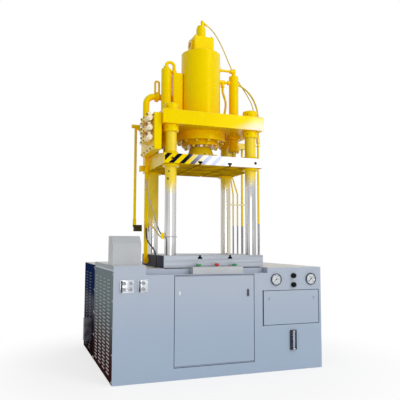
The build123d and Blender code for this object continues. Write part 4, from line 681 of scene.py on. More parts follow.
def on_front(x, z, proud=0.0):
    """Place of a thing on the cabinet's front, its Z pointing out of the sheet."""
    return at(x, FRONT_FACE - proud, z) @ Matrix.Rotation(math.pi / 2, 4, "X")


# Geometry nodes.

def geometry_tree(name, **takes):
    """A new geometry tree."""
    tree, takes, gives = node_group("GeometryNodeTree", name, spaced(takes), {"Geometry": "Geometry"})
    return tree, takes, gives["Geometry"]


def close_tree(tree, shape, finish, end):
    """Realize the instances, give them their material and end the tree."""
    real = add_node(tree, "GeometryNodeRealizeInstances", {"Geometry": shape})
    coated = add_node(tree, "GeometryNodeSetMaterial", {"Geometry": real[0], "Material": finish})
    tree.links.new(coated[0], end)


def mesh_line(tree, **inputs):
    """Points along a line."""
    return add_node(tree, "GeometryNodeMeshLine", spaced(inputs))[0]


def vector(tree, **parts):
    """A vector from some of its numbers."""
    return add_node(tree, "ShaderNodeCombineXYZ", parts)[0]


def copies(tree, points, shape, **inputs):
    """The shape at every point."""
    return add_node(tree, "GeometryNodeInstanceOnPoints", {"Points": points, "Instance": shape, **inputs})[0]


def make_ring_tree():
    """Heads of screws spaced evenly round a circle."""
    tree, takes, end = geometry_tree("Ring of heads", Count=8, Radius=0.1, Head="Object", Finish="Material")
    circle = add_node(tree, "GeometryNodeMeshCircle", {"Vertices": takes["Count"], "Radius": takes["Radius"]})
    head = add_node(tree, "GeometryNodeObjectInfo", {"Object": takes["Head"]})["Geometry"]
    close_tree(tree, copies(tree, circle[0], head), takes["Finish"], end)


def make_row_tree():
    """Heads of screws spaced evenly along a line."""
    tree, takes, end = geometry_tree("Row of heads", Count=4, Start=(0.0, 0.0, 0.0), Step=(0.1, 0.0, 0.0),
                                     Aim=(0.0, 0.0, 1.0), Head="Object", Finish="Material")
    line = mesh_line(tree, Count=takes["Count"], Start_Location=takes["Start"], Offset=takes["Step"])
    aim = add_node(tree, "FunctionNodeAlignRotationToVector", {"Vector": takes["Aim"]}, axis="Z")[0]
    head = add_node(tree, "GeometryNodeObjectInfo", {"Object": takes["Head"]})["Geometry"]
    close_tree(tree, copies(tree, line, head, Rotation=aim), takes["Finish"], end)


def make_mark_tree():
    """Marks of a round scale: thin bars at equal angles, every nth one long."""
    tree, takes, end = geometry_tree("Dial marks", Count=41, Long_every=10, First_angle=0.0, Sweep=4.7,
                                     Radius=0.04, Length=0.003, Width=0.0005, Thickness=0.0002,
                                     Finish="Material")
    line = mesh_line(tree, Count=takes["Count"], Offset=(0.0, 0.0, 0.0))
    index = tree.nodes.new("GeometryNodeInputIndex").outputs[0]
    last = figure(tree, "SUBTRACT", takes["Count"], 1.0)
    turned = figure(tree, "MULTIPLY", figure(tree, "DIVIDE", index, last), takes["Sweep"])
    turn = vector(tree, Z=figure(tree, "ADD", takes["First angle"], turned))
    is_long = figure(tree, "LESS_THAN", figure(tree, "MODULO", index, takes["Long every"]), 0.5)
    grow = figure(tree, "MULTIPLY_ADD", is_long, 0.8, 1.0)
    bar_size = vector(tree, X=takes["Length"], Y=takes["Width"], Z=takes["Thickness"])
    bar = add_node(tree, "GeometryNodeMeshCube", {"Size": bar_size})[0]
    inward = vector(tree, X=figure(tree, "MULTIPLY", takes["Length"], -0.5))
    bar = add_node(tree, "GeometryNodeTransform", {"Geometry": bar, "Translation": inward})[0]
    marks = copies(tree, line, bar, Rotation=turn, Scale=vector(tree, X=grow, Y=grow, Z=1.0))
    moved = add_node(tree, "GeometryNodeTranslateInstances", {
        "Instances": marks, "Translation": vector(tree, X=takes["Radius"])})
    close_tree(tree, moved[0], takes["Finish"], end)


def make_rib_tree():
    """Round ribs spaced along Z, as a crimped ferrule has."""
    tree, takes, end = geometry_tree("Crimp ribs", Count=5, Radius=0.012, Rib=0.001, Pitch=0.004,
                                     Finish="Material")
    ring, section = (add_node(tree, "GeometryNodeCurvePrimitiveCircle", sizes)[0] for sizes in (
        {"Resolution": 24, "Radius": takes["Radius"]}, {"Resolution": 6, "Radius": takes["Rib"]}))
    rib = add_node(tree, "GeometryNodeCurveToMesh", {"Curve": ring, "Profile Curve": section})[0]
    line = mesh_line(tree, Count=takes["Count"], Offset=vector(tree, Z=takes["Pitch"]))
    close_tree(tree, copies(tree, line, rib), takes["Finish"], end)


def grown(tree_name, **values):
    """The plain mesh that a geometry tree makes from its inputs."""
    tree = bpy.data.node_groups[tree_name]
    carrier = link_object(tree_name, bpy.data.meshes.new(tree_name))
    modifier = carrier.modifiers.new(tree_name, "NODES")
    modifier.node_group = tree
    sockets = {item.name: item.identifier for item in tree.interface.items_tree
               if item.item_type == "SOCKET" and item.in_out == "INPUT"}
    for label, value in spaced(values).items():
        modifier[sockets[label]] = value
    mesh = evaluated_mesh(carrier)
    bpy.data.objects.remove(carrier)
    return mesh


def head_source(kind, dia):
    """An object that holds a screw head for the geometry trees."""
    return link_object("head_source", screw_head(kind, dia))


# Steps.

class PRESS_OT_shared_parts(Operator):
    """Build the shader groups and geometry trees that the other steps use"""
    bl_idname = "press.shared_parts"
    bl_label = "Shared parts"

    def execute(self, context):
        for build in (make_paint_film, make_edge_wear, make_hollows, make_height_fade, make_hazard_bars,
                      make_seam_line, make_drawn_streaks, make_specks, make_ring_tree, make_row_tree,
                      make_mark_tree, make_rib_tree):
            build()
        return {"FINISHED"}


class PRESS_OT_upper_works(Operator):
    """Paint the crown, cylinders, blocks, pipes and hoses yellow"""
    bl_idname = "press.upper_works"
    bl_label = "Upper works"

    def execute(self, context):
        paints = context.scene.press_paints
        low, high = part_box("crown")

        def nut_colour(tree, paint):
            above_bed = spread(tree, object_axes(tree)[2], *BED_NUTS_TOP)
            return mix_colour(tree, above_bed, (0.05, 0.05, 0.06), paint)

        def crown_colour(tree, paint):
            # Painted highlight: the front face turns cream towards its lower right.
            across, _, height = object_axes(tree)
            rightward = spread(tree, across, 0.10, high.x, 0.0, 0.80)
            downward = spread(tree, height, high.z, low.z, 0.0, 0.55)
            share = spread(tree, figure(tree, "ADD", rightward, downward), 0.52, 1.30)
            front = figure(tree, "MULTIPLY", share, facing(tree, 1, -1.0))
            return mix_colour(tree, front, paint, paints.crown_glare)

        def above_plane(tree, limit, bend, slope, level):
            """1 above a level that slopes on one side of a bend in Y."""
            _, along, height = object_axes(tree)
            past = figure(tree, limit, figure(tree, "SUBTRACT", along, bend), 0.0)
            over = figure(tree, "SUBTRACT", height, figure(tree, "MULTIPLY_ADD", past, slope, level))
            return spread(tree, over, -0.001, 0.001)

        def line_colour(tree, rubber):
            """Pale signal cable over a yellow return line over a black drop line."""
            painted = mix_colour(tree, above_plane(tree, *RETURN_LINE_TOP), rubber, paints.yellow_shade)
            sleeve = spread(tree, object_axes(tree)[2], *CABLE_SLEEVE)
            cable = mix_colour(tree, sleeve, rubber, (0.42, 0.42, 0.44))
            return mix_colour(tree, above_plane(tree, *DROP_LINE_TOP), painted, cable)

        def coil_colour(tree, paint):
            """Cream coils with a brown band of painted shadow, either side of the yellow valve bodies."""
            along = figure(tree, "ABSOLUTE", figure(tree, "SUBTRACT", object_axes(tree)[1], VALVE_MIDDLE))
            band = within(tree, along, *COIL_SHADOW_BAND)
            # Painted shadow: the brown band on the coils.
            shell = mix_colour(tree, band, paints.valve_cream, (0.16, 0.07, 0.02))
            return mix_colour(tree, spread(tree, along, *VALVE_BODY_END), paint, shell)

        def sensor_colour(tree, paint):
            return mix_colour(tree, fade(tree, *SENSOR_HEAD, 0.0), (0.012, 0.012, 0.014), paint)

        def strap_colour(tree, paint):
            """A grey split collar at the foot and a bleached strip higher up."""
            across, _, height = object_axes(tree)
            strip = within(tree, height, *BLEACHED_STRIP)
            collar = figure(tree, "MULTIPLY", spread(tree, height, *COLLAR_TOP, 1.0, 0.0),
                            spread(tree, across, *COLLAR_SIDE))
            paint = mix_colour(tree, collar, paint, (0.40, 0.41, 0.42))
            return mix_colour(tree, strip, paint, (0.80, 0.74, 0.48))

        def painted_risers(tree):
            return fade(tree, paints.riser_paint_end - 0.006, paints.riser_paint_end + 0.006, 0.01)

        rubbed = {"wear": 0.35, "worn": YELLOW_RUBBED}
        for name, recolour, looks, pieces in (
                ("yellow_enamel", None, rubbed, UPPER_WORKS),
                ("nut_enamel", nut_colour, rubbed, ("column_nuts",)),
                ("crown_enamel", crown_colour, {"patch_scale": 1.6, **rubbed}, ("crown",)),
                ("valve_enamel", coil_colour, {"patch_scale": 12.0}, ("solenoid_valves",)),
                ("sensor_enamel", sensor_colour, {"patch_scale": 9.0}, ("stroke_sensor",)),
                ("clamp_enamel", strap_colour, {"patch_scale": 9.0}, ("pipe_clamps",))):
            dress(yellow_enamel(name, paints, recolour, **looks), *pieces)
        for name, paint, shade, hoses in (
                ("painted_hose", (0.70, 0.48, 0.0), (0.50, 0.30, 0.0), ("side_hose",)),
                ("aged_hose", (0.58, 0.46, 0.0), (0.36, 0.22, 0.0), ("pilot_hose", "kicker_hose"))):
            dress(enamel(name, paint, shade, patch_scale=30.0, patch_share=0.5, gloss=0.3,
                         sheen_tone=YELLOW_SHEEN), *hoses)
        dress(moulded("line_rubber", (0.014, 0.014, 0.016), 0.42, recolour=line_colour), "control_lines")
        riser = part_painted("riser_steel", paints, painted_risers, (0.34, 0.33, 0.34), 0.36,
                             (90.0, 90.0, 4.0))
        dress(riser, "riser_pipes")
        return {"FINISHED"}


class PRESS_OT_columns_and_ram(Operator):
    """Finish the tie columns, main ram, kicker rods and ejector rod in hard chrome with yellow overspray"""
    bl_idname = "press.columns_and_ram"
    bl_label = "Columns and ram"

    def execute(self, context):
        paints = context.scene.press_paints
        column_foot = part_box("front_columns")[0].z
        ram_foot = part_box("main_ram")[0].z

        def overspray(tree, left_end):
            """1 above the ragged lower edge of the yellow overspray."""
            right = spread(tree, object_axes(tree)[0], -0.1, 0.1)
            end = mix_value(tree, right, left_end, paints.right_paint_end)
            film = fade(tree, figure(tree, "SUBTRACT", end, 0.05), figure(tree, "ADD", end, 0.11), 0.09, 60.0)
            return film, right

        def painted_front(tree):
            return overspray(tree, paints.left_paint_end)[0]

        def painted_rear(tree):
            film, right = overspray(tree, paints.rear_paint_end)
            mist = spread(tree, object_axes(tree)[0], 0.385, 0.425, 0.10, 0.55)
            return figure(tree, "MAXIMUM", film, figure(tree, "MULTIPLY", mist, right))

        def painted_foot(tree):
            collar = fade(tree, *(ram_foot + rise for rise in RAM_COLLAR), 0.01)
            return figure(tree, "SUBTRACT", 1.0, collar)

        def scuffs(tree, colour):
            """Two chips on the front left column and grime at the columns' feet."""
            for centre, radius in COLUMN_CHIPS:
                colour = mix_colour(tree, spot(tree, centre, radius), colour, (0.03, 0.012, 0.008))
            clean = fade(tree, *(column_foot + rise for rise in FOOT_GRIME), 0.2, 30.0)
            grime = figure(tree, "MULTIPLY_ADD", clean, -0.35, 0.35)
            return mix_colour(tree, grime, colour, (0.20, 0.19, 0.19))

        for name, where, marks, rods in (
                ("front_column_chrome", painted_front, scuffs, ("front_columns",)),
                ("rear_column_chrome", painted_rear, None, ("rear_columns",)),
                ("ram_chrome", painted_foot, None, ("main_ram", "kicker_rod_left", "kicker_rod_right"))):
            dress(part_painted(name, paints, where, paints.chrome, 0.10, UPRIGHT_POLISH, marks), *rods)
        dress(bare_metal("ejector_chrome", paints.chrome, 0.12, UPRIGHT_POLISH, dirt=0.2), "ejector_rod")
        return {"FINISHED"}


class PRESS_OT_slide_and_bed(Operator):
    """Paint the slide with its hazard bars and finish the ground bed and its pedestal"""
    bl_idname = "press.slide_and_bed"
    bl_label = "Slide and bed"

    def execute(self, context):
        paints = context.scene.press_paints
        slide_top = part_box("slide")[1].z

        def slide_colour(tree, paint):
            """Hazard bars in front, under painted glare at the right end, soiled above, painted shade below, and
            black painted shade in the slots.
            """
            across = object_axes(tree)[0]
            bars = run_group(tree, "Hazard bars", Pitch=paints.stripe_pitch,
                             Start=paints.stripe_edge - slide_top)["Mask"]
            fresh = mix_colour(tree, bars, paint, paints.stripe_black)
            # Painted glare: towards the right the bars fade into a pale wash.
            faint = figure(tree, "MULTIPLY", bars, spread(tree, across, 0.0, 0.16, 0.75, 0.06))
            glared = mix_colour(tree, faint, paints.slide_glare, paints.stripe_glare)
            front = mix_colour(tree, spread(tree, across, -0.27, -0.02), fresh, glared)
            patches = spread(tree, noise(tree, object_place(tree), 9.0, 5.0), 0.34, 0.66)
            tread = mix_colour(tree, patches, (0.24, 0.225, 0.19), (0.07, 0.07, 0.075))
            # Painted shade: the underside is a darker orange.
            under = mix_colour(tree, patches, (0.66, 0.40, 0.0), (0.38, 0.20, 0.01))
            for axis, sign, face_colour in ((1, -1.0, front), (2, 1.0, tread), (2, -1.0, under)):
                paint = mix_colour(tree, facing(tree, axis, sign), paint, face_colour)
            # Painted shade: black deep in the tee slots.
            return mix_colour(tree, tee_slot_shade(tree), paint, (0.012, 0.008, 0.005))

        # Painted shade: the bed's left face is dark navy and dull.
        def shaded_left_face(tree):
            return facing(tree, 0, -1.0)

        def bed_colour(tree, steel):
            # Painted shade: dark navy on the bed's left face.
            steel = mix_colour(tree, shaded_left_face(tree), steel, (0.014, 0.018, 0.048))
            # Painted shade: dark deep in the tee slots.
            return mix_colour(tree, tee_slot_shade(tree), steel, (0.012, 0.012, 0.020))

        dress(yellow_enamel("slide_enamel", paints, gloss=0.0, rough=0.34, wear=0.25, worn=(0.45, 0.42, 0.36),
                            recolour=slide_colour), "slide")
        dress(bare_metal("ground_steel", paints.ground_steel, 0.34, ALONG_X, wear=0.35, dirt=0.35,
                         recolour=bed_colour, metallic=0.45, dull_where=shaded_left_face), "bolster")
        dress(enamel("pedestal_primer", (0.20, 0.22, 0.25), (0.13, 0.14, 0.16), rough=0.5, wear=0.3),
              "base_frame", "ejector_cylinder")
        return {"FINISHED"}


class PRESS_OT_cabinet(Operator):
    """Paint the cabinet's sheets, doors and frame"""
    bl_idname = "press.cabinet"
    bl_label = "Cabinet"

    def execute(self, context):
        paints = context.scene.press_paints

        def front_colour(tree, paint):
            """Dust and painted reflection on the upper part, painted shade round the doors, and a shadow line at
            the hatch's hinge side.
            """
            # Dust and painted reflection: the front sheets turn paler towards the top.
            paint = mix_colour(tree, fade(tree, 0.30, 0.86, 0.10, 2.5), paint, paints.cabinet_high_dust_and_reflection)
            # Painted shade: dark lines round the door and hatch outlines.
            for name, width in (("front_door", 0.0026), ("hatch_door", 0.0022)):
                low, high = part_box(name)
                gap_shade = seam(tree, (low + high) / 2, (high - low) / 2, width)
                paint = mix_colour(tree, gap_shade, paint, paints.seam_shade)
            low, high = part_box("hatch_door")
            deep = seam(tree, (low.x, 0.0, (low.z + high.z) / 2), (0.0, 0.0, (high.z - low.z) / 2), 0.0050)
            return mix_colour(tree, deep, paint, (0.006, 0.010, 0.035))

        def side_colour(tree, paint):
            """A pale front sheet and a dark rear one, painted highlights on the hoods, painted shadow in the
            louvres, a painted floor reflection at the foot.
            """
            outward, along, height = object_axes(tree)
            clean = fade(tree, 0.08, 0.74, 0.15, 3.0)
            rear = spread(tree, along, *LEFT_SHEET_JOINT)
            cloud = figure(tree, "MULTIPLY", spread(tree, height, 0.30, 0.44),
                           spread(tree, height, 0.52, 0.64, 0.55, 0.0))
            film = mix_colour(tree, cloud, paints.side_rear, (0.20, 0.20, 0.22))
            high = mix_colour(tree, rear, paint, film)
            # Painted reflection of the floor: the foot of the left sheets turns dark brown.
            low = mix_colour(tree, rear, paints.side_low_floor_reflection, (0.020, 0.010, 0.012))
            # Painted highlight: the louvre hoods turn pale, more on the front sheet than the rear.
            hood = spread(tree, outward, *LEFT_HOODS)
            hood_light = figure(tree, "MULTIPLY", hood, mix_value(tree, rear, 0.80, 0.30))
            pale = mix_colour(tree, clean, (0.66, 0.60, 0.60), paints.hood_highlight)
            sheet = mix_colour(tree, hood_light, mix_colour(tree, clean, low, high), pale)
            # Painted shadow: near black under the louvre lips.
            louvre_shadow = spread(tree, hollow(tree, 0.016), 0.30, 0.60, 0.0, 0.9)
            return mix_colour(tree, louvre_shadow, sheet, (0.008, 0.010, 0.012))

        def back_colour(tree, paint):
            return mix_colour(tree, fade(tree, 0.0, 0.35, 0.12, 4.0), (0.15, 0.14, 0.14), paint)

        def top_colour(tree, paint):
            # Painted light and shade: the top's front fold takes the front sheets' upper tone and its left fold
            # the darker left-side tone.
            paint = mix_colour(tree, facing(tree, 1, -1.0), paint, paints.cabinet_high_dust_and_reflection)
            return mix_colour(tree, facing(tree, 0, -1.0), paint, paints.side_high)

        for name, colour, shade, recolour, looks, sheets in (
                ("cabinet_enamel", paints.cabinet_low, 0.92, front_colour,
                 {"patch_scale": 1.1, "patch_share": 0.25, "rough": 0.30, "gloss": 0.3, "wear": 0.25,
                  "worn": GREY_RUBBED}, ("front_panel", "front_door", "hatch_door", "cabinet_frame")),
                ("side_sheet_enamel", paints.side_high, 0.85, side_colour,
                 {"patch_scale": 2.0, "rough": 0.46, "gloss": 0.0, "wear": 0.2, "worn": (0.32, 0.36, 0.38)},
                 ("left_front_vents", "left_rear_vents")),
                ("rear_sheet_enamel", paints.cabinet_low, 0.86, back_colour,
                 {"patch_scale": 1.4, "wear": 0.25, "worn": GREY_RUBBED}, ("rear_shell",)),
                ("top_sheet_enamel", paints.top_sheet, 0.84, top_colour,
                 {"patch_scale": 6.0, "patch_share": 0.5, "rough": 0.4, "wear": 0.3, "worn": (0.7, 0.7, 0.7)},
                 ("cabinet_top",))):
            dress(enamel(name, colour, dim(colour, shade), recolour=recolour, **looks), *sheets)
        return {"FINISHED"}


class PRESS_OT_power_unit(Operator):
    """Finish the oil tank, motor, pump and coupling inside the cabinet"""
    bl_idname = "press.power_unit"
    bl_label = "Power unit"

    def execute(self, context):
        dress(enamel("tank_primer", (0.17, 0.19, 0.22), (0.11, 0.12, 0.14), rough=0.45, wear=0.4), "oil_tank")
        dress(enamel("motor_casting", (0.10, 0.15, 0.20), (0.06, 0.09, 0.12), patch_scale=14.0, rough=0.48,
                     coat=0.1, wear=0.4), "motor", "pump")
        dress(bare_metal("blackened_steel", (0.12, 0.12, 0.13), 0.4, (8.0, 90.0, 90.0)), "coupling")
        return {"FINISHED"}


class PRESS_OT_controls(Operator):
    """Finish the control box, buttons, gauges, knobs, lock and power inlet"""
    bl_idname = "press.controls"
    bl_label = "Controls"

    def execute(self, context):
        def inlet_colour(tree, paint):
            above_gland = spread(tree, object_axes(tree)[2], *INLET_GLAND_TOP)
            return mix_colour(tree, above_gland, (0.01, 0.01, 0.012), paint)

        box = enamel("control_box_enamel", (0.44, 0.46, 0.48), (0.34, 0.36, 0.38), patch_scale=5.0, wear=0.4,
                     worn=(0.7, 0.7, 0.7))
        inlet = enamel("inlet_enamel", (0.035, 0.035, 0.045), (0.20, 0.20, 0.22), patch_scale=14.0,
                       patch_share=0.7, wear=0.8, worn=(0.45, 0.46, 0.48), recolour=inlet_colour)
        level = enamel("level_frame_black", (0.012, 0.016, 0.030), (0.02, 0.026, 0.05), patch_scale=20.0,
                       rough=0.25, wear=0.5, worn=(0.5, 0.52, 0.56))
        # Painted reflection: the chrome bezels are coloured near black for the dark surroundings they mirror.
        bezel = bare_metal("bezel_chrome_dark_reflection", (0.045, 0.055, 0.085), 0.14, (40.0, 40.0, 40.0), dirt=0.1,
                           wear=0.7)
        dress(box, "control_box", "two_hand_bar")
        dress(inlet, "power_inlet")
        dress(level, "level_gauge")
        dress(bezel, "gauge_cases")
        for name, colour, rough, gloss, pieces in (
                ("green_button", (0.02, 0.26, 0.06), 0.22, 0.4, ("palm_button_left", "palm_button_right")),
                ("red_button", (0.50, 0.012, 0.012), 0.22, 0.4, ("stop_button",)),
                ("black_knob", (0.003, 0.003, 0.004), 0.42, 0.08, ("upper_knob", "lower_knob")),
                ("needle_paint", (0.008, 0.008, 0.008), 0.5, 0.4, ("needle_left", "needle_right"))):
            dress(moulded(name, colour, rough, gloss), *pieces)
        dress(bare_metal("lock_steel", (0.10, 0.10, 0.12), 0.35, (20.0, 20.0, 60.0)), "door_lock")
        return {"FINISHED"}


class PRESS_OT_flange_bolts(Operator):
    """Cap screws and bolts round the cylinder, gland, ram and kicker flanges and on the valves"""
    bl_idname = "press.flange_bolts"
    bl_label = "Flange bolts"

    def execute(self, context):
        sizes = context.scene.press_fittings
        finish = enamel("bolt_enamel", context.scene.press_paints.yellow, (0.82, 0.62, 0.06),
                        patch_scale=30.0, rough=0.2, gloss=0.5, wear=0.5, worn=(0.86, 0.78, 0.42))
        dark = bare_metal("dark_screw", (0.30, 0.18, 0.06), 0.35, (80.0, 80.0, 80.0), dirt=0.2)
        cap = head_source("cap", sizes.cap_screw)
        small = head_source("cap", sizes.small_cap_screw)
        bolt = head_source("hexagon", sizes.clamp_bolt)

        def ring(head, number_of, radius, across, height, turn=HANGING):
            heads = grown("Ring of heads", Count=number_of, Radius=radius, Head=head, Finish=finish)
            return heads, at(across, 0, height) @ turn, 0

        kicker_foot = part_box("kicker_cylinder_left")[0].z
        parts = [ring(cap, sizes.flange_bolts, FLANGE_BOLT_RADIUS, 0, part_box("main_cylinder")[0].z),
                 ring(cap, sizes.gland_bolts, GLAND_BOLT_RADIUS, 0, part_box("gland_flange")[0].z)]
        parts += [ring(small, sizes.kicker_bolts, KICKER_BOLT_RADIUS, x, kicker_foot) for x in KICKERS_ACROSS]
        screw = screw_head("cap", sizes.prefill_screw)
        parts += [(screw, at(x, y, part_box("prefill_block")[1].z), 0) for x, y in PREFILL_BOLTS]
        join("frame_flange_bolts", parts, [finish], "press_frame")
        clamp = ring(bolt, sizes.clamp_bolts, CLAMP_BOLT_RADIUS, 0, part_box("ram_flange")[1].z, UPRIGHT)
        join("ram_clamp_bolts", [clamp], [finish], "press_slide")
        block_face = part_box("valve_manifold")[0].x
        valve_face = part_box("solenoid_valves")[0].x
        rows = [((valve_face, VALVE_SCREWS_START, height + lift), VALVE_SCREWS_APART, 2)
                for height in VALVE_HEIGHTS for lift in (-0.017, 0.017)]
        rows += [((block_face, BLOCK_SCREWS_START, height), apart, number_of)
                 for height, apart, number_of in BLOCK_SCREWS]
        parts = [(grown("Row of heads", Count=number_of, Start=start, Step=(0.0, pitch, 0.0),
                        Aim=(-1.0, 0.0, 0.0), Head=small, Finish=dark), UPRIGHT, 0)
                 for start, pitch, number_of in rows]
        join("valve_block_screws", parts, [dark], "press_frame")
        for source in (cap, small, bolt):
            bpy.data.objects.remove(source)
        return {"FINISHED"}


class PRESS_OT_sheet_screws(Operator):
    """Screws along the edges of the cabinet's side and rear sheets"""
    bl_idname = "press.sheet_screws"
    bl_label = "Sheet screws"

    def execute(self, context):
        sizes = context.scene.press_fittings
        finish = bare_metal("zinc_screw", (0.62, 0.62, 0.60), 0.3, (90.0, 90.0, 90.0), dirt=0.3)
        head = head_source("pan", sizes.sheet_screw)
        edge_inset, corner_inset = 0.020, 0.06
        parts = []

        def edge(start, end, aim):
            start, end = Vector(start), Vector(end)
            gaps = max(1, round((end - start).length / sizes.screw_pitch))
            heads = grown("Row of heads", Count=gaps + 1, Start=start, Step=(end - start) / gaps, Aim=aim,
                          Head=head, Finish=finish)
            parts.append((heads, UPRIGHT, 0))

        for name in ("left_front_vents", "left_rear_vents"):
            low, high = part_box(name)
            foot, top = low.z + edge_inset, high.z - edge_inset
            for y in (low.y + edge_inset, high.y - edge_inset):
                edge((LEFT_SKIN, y, foot), (LEFT_SKIN, y, top), (-1.0, 0.0, 0.0))
        low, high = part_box("rear_shell")
        for z in (low.z + edge_inset, high.z - edge_inset):
            edge((low.x + corner_inset, high.y, z), (high.x - corner_inset, high.y, z), (0.0, 1.0, 0.0))
            edge((high.x, low.y + corner_inset, z), (high.x, high.y - corner_inset, z), (1.0, 0.0, 0.0))
        join("sheet_screws", parts, [finish], "press_frame")
        bpy.data.objects.remove(head)
        return {"FINISHED"}


class PRESS_OT_gauge_faces(Operator):
    """Dial faces with plain numbers, and their glasses"""
    bl_idname = "press.gauge_faces"
    bl_label = "Gauge faces"

    def execute(self, context):
        sizes = context.scene.press_fittings
        face = enamel("dial_white", (0.80, 0.82, 0.86), (0.72, 0.75, 0.82), patch_scale=40.0, rough=0.4)
        ink = moulded("dial_ink", (0.012, 0.012, 0.014), 0.5)
        glass = clear_glass("gauge_glass", (0.97, 0.98, 0.98))
        disc = lathe([(0.0030, 0.0), (0.0030, 0.0004), (0.0445, 0.0004), (0.0448, 0.0), (0.0030, 0.0)])
        pane = lathe([(0.0, 0.0), (0.0457, 0.0), (0.0457, 0.0008), (0.040, 0.0011), (0.0, 0.0013)])
        first_angle, number_step, number_radius = 225, -54, 0.0305
        marks = grown("Dial marks", Count=sizes.dial_marks, Long_every=8, Radius=0.041, Length=0.0030,
                      First_angle=math.radians(first_angle), Sweep=math.radians(5 * number_step),
                      Width=0.0007, Thickness=0.0002, Finish=ink)
        dials = []
        for across in GAUGES_ACROSS:
            seat = on_front(across, GAUGE_HEIGHT, DIAL_PROUD)
            inked = on_front(across, GAUGE_HEIGHT, DIAL_PROUD + DIAL_INK_PROUD)
            dials += [(disc, seat, 0), (marks, inked, 1)]
            for step in range(6):
                angle = math.radians(first_angle + number_step * step)
                place = at(number_radius * math.cos(angle), number_radius * math.sin(angle), 0)
                dials.append((plain_figure(str(step * 5), 0.0085, 0.0002), inked @ place, 1))
        join("gauge_dials", dials, [face, ink], "press_frame")
        panes = [(pane, on_front(across, GAUGE_HEIGHT, GLASS_PROUD), 0) for across in GAUGES_ACROSS]
        join("gauge_glasses", panes, [glass], "press_frame")
        return {"FINISHED"}


class PRESS_OT_level_window(Operator):
    """Sight glass, oil, float and hollow bolts of the level gauge"""
    bl_idname = "press.level_window"
    bl_label = "Level window"

    def execute(self, context):
        low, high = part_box("level_gauge")
        across = (low.x + high.x) / 2
        middle = (low.z + high.z) / 2
        glass = clear_glass("sight_glass", (0.90, 0.93, 0.96))
        oil = moulded("sight_back", (0.62, 0.65, 0.72), 0.3)
        steel = bare_metal("level_bolt", (0.70, 0.71, 0.73), 0.22, (60.0, 60.0, 60.0), dirt=0.1)
        paint = enamel("level_mark", (0.02, 0.03, 0.09), (0.03, 0.05, 0.14), patch_scale=60.0)
        seat = on_front(across, middle, 0.010)
        parts = [(slab(size, centre, rounding), seat, index) for size, centre, rounding, index in (
            ((0.0245, 0.1245, 0.0030), (0, 0, 0.0017), 0.0006, 0),
            ((0.0060, 0.1150, 0.0012), (-0.0070, 0, 0.0038), 0.0003, 3),
            ((0.0255, 0.1255, 0.0028), (0, 0, 0.0080), 0.0007, 1))]
        bolt = screw_head("hexagon", 0.017)
        parts += [(bolt, on_front(across, middle + height, 0.020), 2) for height in (-0.073, 0.073)]
        join("level_window", parts, [oil, glass, steel, paint], "press_frame")
        return {"FINISHED"}


class PRESS_OT_hose_ferrules(Operator):
    """Crimped ferrules at the hoses' ends"""
    bl_idname = "press.hose_ferrules"
    bl_label = "Hose ferrules"

    def execute(self, context):
        sizes = context.scene.press_fittings
        finish = enamel("ferrule_enamel", context.scene.press_paints.yellow, (0.82, 0.74, 0.36),
                        patch_scale=40.0, rough=0.24, wear=0.7, worn=(0.72, 0.70, 0.60))
        pilot_end = at(0.058, 0, 3.2206) @ Matrix.Rotation(math.radians(116.565), 4, "Y")
        kicker_end = at(0.511, -0.197, 2.090)
        side_end = at(0.243, -0.010, 2.300)
        parts = []
        for dia, place in ((0.0145, pilot_end), (0.0225, kicker_end), (0.0290, side_end)):
            tall = 1.7 * dia
            radius = dia / 2
            sleeve = lathe([(0.80 * radius, 0.001), (radius, 0.001), (radius, 0.92 * tall), (0.86 * radius, tall),
                            (0.78 * radius, tall), (0.80 * radius, 0.001)], segments=24)
            ribs = grown("Crimp ribs", Count=sizes.ferrule_ribs, Radius=radius, Rib=0.03 * dia,
                         Pitch=0.15 * tall, Finish=finish)
            parts += [(sleeve, place, 0), (ribs, place @ at(0, 0, 0.18 * tall), 0)]
        join("hose_ferrules", parts, [finish], "press_frame")
        return {"FINISHED"}


class PRESS_OT_socket_plates(Operator):
    """Two socket plates and a small bare plate on the cabinet's front"""
    bl_idname = "press.socket_plates"
    bl_label = "Socket plates"

    def execute(self, context):
        sheet = bare_metal("socket_plate", (0.62, 0.65, 0.68), 0.28, (3.0, 60.0, 60.0), dirt=0.2, wear=0.6)
        pale = moulded("socket_grey", (0.40, 0.43, 0.47), 0.35)
        dark = moulded("socket_black", (0.012, 0.012, 0.016), 0.4)
        collar = lathe([(0.0, 0.004), (0.010, 0.004), (0.010, 0.010), (0.0135, 0.012), (0.0165, 0.011),
                        (0.0175, 0.0), (0.0, 0.0)])
        pin = lathe([(0.0, 0.0), (0.0016, 0.0), (0.0016, 0.0045), (0.0, 0.0055)], segments=10)
        screw = screw_head("pan", 0.009)
        plate_top = 0.004
        parts = []
        for x, width, sockets in SOCKET_PLATES:
            seat = on_front(x, SOCKETS_HEIGHT)
            edge = width / 2
            parts += [(slab((width, 0.102, plate_top), (0, 0, plate_top / 2), 0.0012), seat, 0),
                      (slab((0.012, 0.094, 0.014), (0.009 - edge, 0, 0.009), 0.002), seat, 2)]
            for place in [seat @ at(socket, height, plate_top) for socket in sockets
                          for height in (-0.024, 0.024)]:
                parts.append((collar, place, 1))
                parts += [(pin, place @ at(*pin_place, 0.0042), 2)
                          for pin_place in ((-0.005, -0.003), (0.005, -0.003), (0.0, 0.005))]
            parts += [(screw, seat @ at(corner_x, corner_y, plate_top), 0)
                      for corner_x in (0.007 - edge, edge - 0.007) for corner_y in (-0.045, 0.045)]
        join("socket_plates", parts, [sheet, pale, dark], "press_frame")
        seat = on_front(*DOOR_TAG, 0.0005)
        tag = [(slab((0.017, 0.030, 0.0016), (0, 0, 0.0010), 0.0005), seat, 0)]
        tag += [(screw_head("pan", 0.004), seat @ at(0, corner, 0.0017), 0) for corner in (-0.011, 0.011)]
        join("door_tag", tag, [sheet], "door")
        return {"FINISHED"}


